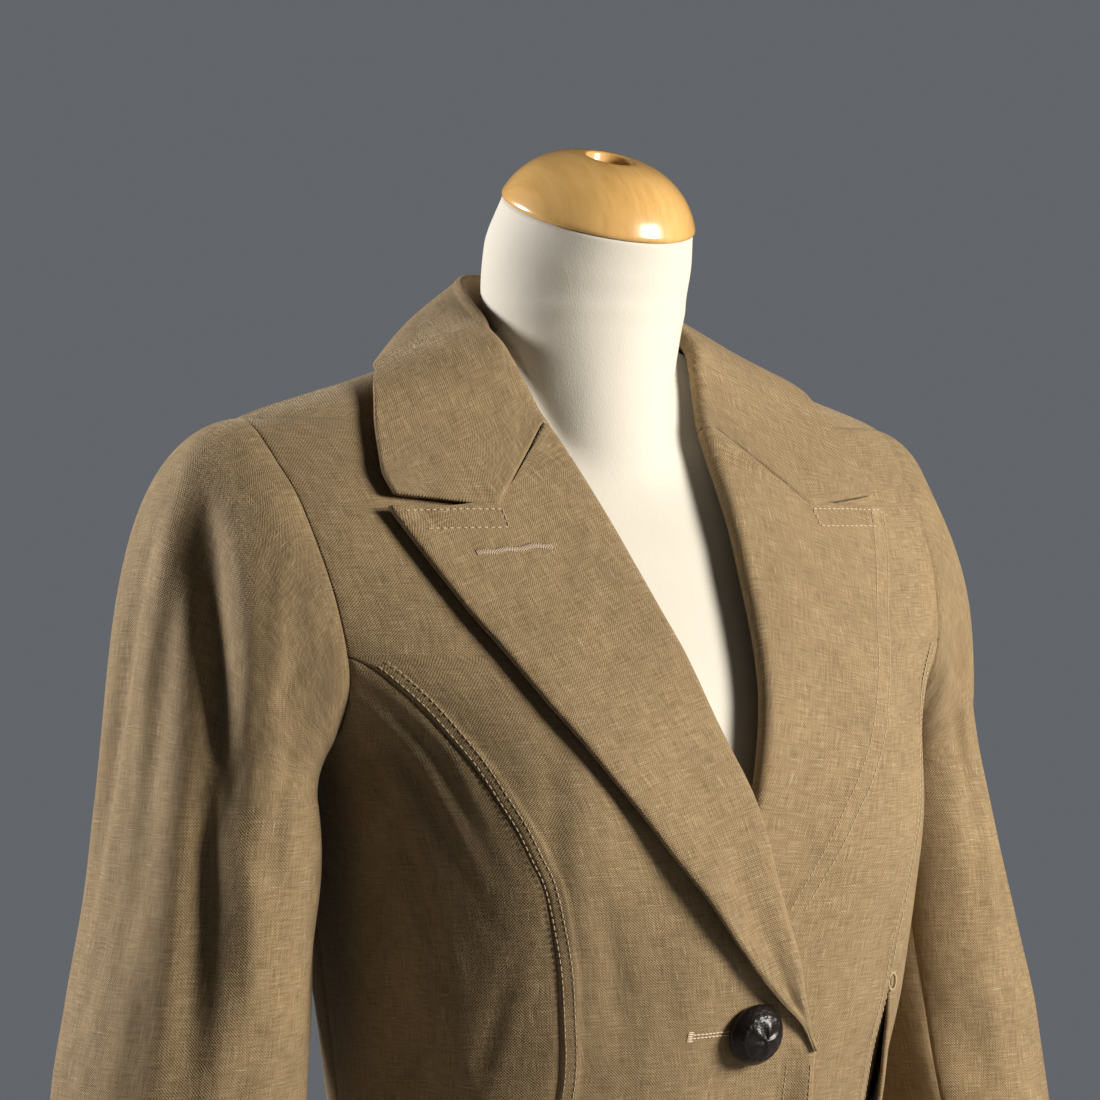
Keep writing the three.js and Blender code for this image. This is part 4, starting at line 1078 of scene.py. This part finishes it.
def placed(origin, across, up, axis):
    """Places the points of a turned body, given as width, height and distance along its axis."""
    return lambda a, b, h: origin + a[..., None] * across + b[..., None] * up + h[..., None] * axis


def revolved(name, profile, segments, place, shape=None):
    """Closed body turned round an axis; the profile runs from the axis to the axis."""
    profile = np.array(profile, float)
    turns = 2 * np.pi * np.arange(segments) / segments
    r, t = profile[:, 0][:, None], turns[None, :]
    h = profile[:, 1][:, None] + (shape(r, t) if shape else 0 * t)
    return closed_body(name, place(r * np.cos(t), r * np.sin(t), h))


def profile_curve(points, steps):
    points = np.array(points, float)
    places = np.linspace(0, len(points) - 1, (len(points) - 1) * steps + 1)
    return smooth_through(points, places)


BUTTON_PROFILE = [
    [0.2, 9.8], [3.2, 9.5], [6.4, 8.8], [9.4, 7.6], [12, 5.8], [14, 3.6], [15.2, 1.6],
    [15, 0.2], [9, -0.5], [3.2, -0.8], [2.8, -2.4], [0.2, -2.4],
]


def button_relief(r, turn):
    petals = 0.55 * np.cos(5 * turn) * np.sin(np.pi * np.clip(r, 0, 9.5) / 9.5)
    rim = 0.4 * bell((r - 11.2) / 0.8) * (1 + 0.5 * np.cos(20 * turn))
    eye = 0.45 * bell(r / 1.8)
    return np.where(r < 13.4, petals + rim + eye, 0)


# Height of the button's lower face over the cloth.
SHANK = 3


def button(name, x, z):
    seat, axis = (found[0] for found in surface_line(-1, [(-x, z)], 0))
    across = unit(np.cross([0, 0, 1], axis))
    place = placed(seat + SHANK * axis, across, np.cross(axis, across), axis)
    top = profile_curve(BUTTON_PROFILE[:8], 6)
    low = np.array(BUTTON_PROFILE[8:], float)

    def shape(r, turn):
        level = np.arange(len(r))[:, None] < len(top)
        return button_relief(r, turn) * level

    return revolved(name, np.concatenate([top, low]), 96, place, shape)


buttons = []
for name, x, z in (("button_upper", BUTTON_X, -338), ("button_lower", BUTTON_X, -437)):
    made = button(f"look_{name}", x, z)
    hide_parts(name)
    buttons.append(made)

# Dress form: the body under the cloth, joined softly to a neck that leans forward.
FORM_BOTTOM_Z = -700
NECK_COLUMNS = ["z", "centre_y", "half_width", "half_depth", "tilt"]
NECK_TABLE = [
    [-110, 6, 44, 40, 0],
    [-60, 4, 46, 47, 0],
    [-20, 3.5, 48, 46.3, 0],
    [4, 2.3, 51.5, 47.7, 1],
    [22, 2.7, 54.5, 51.2, 6],
    [45, -1.7, 55, 52.6, 15],
    [66.6, -11.8, 50.4, 50.4, 22.9],
]
neck = column_curves(NECK_COLUMNS, NECK_TABLE)
form_arm_limit = curve([
    [-30, 400], [-41, 188], [-60, 187], [-100, 184], [-150, 174], [-205, 163], [-260, 160],
])
form_clearance = curve([
    [-640, 14], [-420, 12], [-330, 10], [-240, 5], [-100, 4.5], [-50, 1.5], [-20, 0], [4, 0],
])


def torso_radius(turn, z):
    s, c = np.sin(turn), np.cos(turn)
    front = c >= 0
    level = np.minimum(z + np.where(front, 5, 3), 8)
    clear = form_clearance(z)
    tuck = 1 - 0.08 * smooth_step(-650, FORM_BOTTOM_Z, z)
    limit = np.where(z > -36, 400, form_arm_limit(z))
    width = np.minimum(body["width"](level) - clear, limit) * tuck
    depth = np.where(front, body["front"](level) - 2, body["back"](level)) - 1.8 - clear
    depth = depth * tuck
    power = np.where(front, body["front_power"](level), body["back_power"](level))
    radius = (np.abs(s / width) ** power + np.abs(c / depth) ** power) ** (-1 / power)
    bulge = 0.9 * bust(radius * s, z) * smooth_step(0, 0.4, c)
    return radius + np.where(front, bulge, 0)


def neck_ring(turn, z):
    tilt = np.radians(neck["tilt"](z))
    back = -neck["half_depth"](z) * np.cos(turn)
    x = neck["half_width"](z) * np.sin(turn)
    return np.stack([x, neck["centre_y"](z) + back * np.cos(tilt), z + back * np.sin(tilt)], -1)


def form_ring(turn, z):
    torso = torso_radius(turn, z)
    neck_size = np.hypot(np.sin(turn) / neck["half_width"](z), np.cos(turn) / neck["half_depth"](z))
    column = np.where(z > -110, 1 / neck_size, 0)
    soft = 2.5 + 7.5 * smooth_step(0.6, 0.95, np.cos(turn))
    fillet = soft * np.exp(-np.abs(torso - column) / soft) * 0.5
    radius = np.maximum(torso, column) + fillet * smooth_step(4, -30, z)
    share = 1 / (1 + np.exp(np.clip((torso - column) / 4, -50, 50)))
    y = BODY_CENTRE_Y + (neck["centre_y"](z) - BODY_CENTRE_Y) * share
    return np.stack([radius * np.sin(turn), y - radius * np.cos(turn), z + 0 * radius], -1)


def form_body():
    columns = 144
    turn = 2 * np.pi * np.arange(columns)[None, :] / columns
    low = np.concatenate([
        [-700, -698, -695], np.linspace(-685, -265, 70), np.linspace(-260, -60, 50),
        np.linspace(-56, 1, 39),
    ])[:, None]
    high = np.linspace(6, 66.6, 36)[:, None]
    points = np.concatenate([form_ring(turn, low), neck_ring(turn, high)])
    return closed_body("look_form_body", points, turned=True)


form = form_body()
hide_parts("form_body")

CAP_PROFILE = [
    [0.3, 7.6], [11.5, 8], [12, 29.2], [13.4, 30.2], [19, 29.6], [27, 27.4], [35, 23.2],
    [42, 17.4], [47.2, 10.8], [50.4, 4.6], [51.2, 1.8], [50.4, 0.3], [0.3, 0.3],
]
# The cap sits on the top ring of the neck.
SEAT_Z, SEAT_Y, CAP_TILT = (NECK_TABLE[-1][i] for i in (0, 1, 4))
CAP_TILT = math.radians(CAP_TILT)
CAP_SEAT = np.array([0, SEAT_Y, SEAT_Z])


CAP_AXIS = np.array([0, -math.sin(CAP_TILT), math.cos(CAP_TILT)])
CAP_BACK = np.array([0, math.cos(CAP_TILT), math.sin(CAP_TILT)])
cap_place = placed(CAP_SEAT + 0.3 * CAP_AXIS, np.array([1, 0, 0]), CAP_BACK, CAP_AXIS)
hole = np.array(CAP_PROFILE[:3], float)
dome = profile_curve(CAP_PROFILE[2:12], 5)[1:]
cap_profile = np.concatenate([hole, dome, [CAP_PROFILE[-1]]])
cap = revolved("look_form_cap", cap_profile, 128, cap_place)
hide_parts("form_cap")

# Materials: linen on each piece of cloth, thread on the stitching, leather on the buttons, jersey and
# wood on the form.
linen = linen_material()
for piece in cloth:
    piece.data.materials.append(linen)
threads = {
    name: material(f"{name}_thread", colour, 0.75)[0]
    for name, colour in (
        ("stitching", (0.44, 0.34, 0.215)),
        ("stitching_notches", (0.50, 0.405, 0.275)),
        ("pocket_bar", (0.38, 0.29, 0.185)),
        ("buttonhole", (0.66, 0.53, 0.39)),
    )
}
for piece in sewing:
    tone = [name for name in threads if piece.name.startswith(name)][-1]
    piece.data.materials.append(threads[tone])
leather = leather_material()
for made in buttons:
    made.data.materials.append(leather)
form.data.materials.append(jersey_material())
cap.data.materials.append(wood_material())

# Camera at the photograph's view, level with the shoulders.
CAMERA_TARGET = Vector((-0.01698, 0.01085, 0.59337))
CAMERA_BACK = Vector((-0.5385, -0.8426, 0))
CAMERA_DISTANCE = 1.44607
CAMERA_ROLL = math.radians(-0.59)
camera_data = bpy.data.cameras.new("camera")
camera_data.lens = 90.7
camera_data.sensor_width = 36
camera = new_object("camera", camera_data)
camera.location = CAMERA_TARGET + CAMERA_BACK * CAMERA_DISTANCE
turned = (-CAMERA_BACK).to_track_quat("-Z", "Y").to_matrix().to_4x4()
camera.rotation_euler = (turned @ Matrix.Rotation(CAMERA_ROLL, 4, "Z")).to_euler()
bpy.context.scene.camera = camera


def area_light(name, azimuth, elevation, distance, size, power, colour):
    data = bpy.data.lights.new(name, "AREA")
    data.energy = power
    data.size = size
    data.color = colour
    lamp = new_object(name, data)
    a, e = math.radians(azimuth), math.radians(elevation)
    away = Vector((math.sin(a) * math.cos(e), -math.cos(a) * math.cos(e), math.sin(e)))
    lamp.location = Vector((0, 0, 0.6)) + away * distance
    lamp.rotation_euler = (-away).to_track_quat("-Z", "Y").to_euler()


area_light("key", 33, 11, 1.5, 0.5, 41, (1.0, 0.955, 0.88))
area_light("rim", -128, 20, 2.0, 0.5, 60, (1.0, 0.975, 0.95))
area_light("fill", -10, 20, 3.0, 2.0, 0.8, (1.0, 0.97, 0.93))

bpy.ops.mesh.primitive_circle_add(vertices=96, radius=1.4, fill_type="NGON")
floor = bpy.context.object
floor.name = "floor"
floor.data.materials.append(material("floor", (0.24, 0.24, 0.24), 0.9)[0])
world = bpy.data.worlds.new("studio")
world.use_nodes = True
world_tree = world.node_tree
# The studio behind is lit on its own, so it shows brighter than the light it gives.
seen = add(world_tree, "LightPath", {}, "Is Camera Ray")
fill(world_tree, world_tree.nodes["Background"], {
    "Color": (0.124, 0.133, 0.145, 1),
    "Strength": calculate(world_tree, "MULTIPLY_ADD", seen, 0.86, 0.14),
})
bpy.context.scene.world = world
bpy.context.scene.view_settings.view_transform = "Standard"
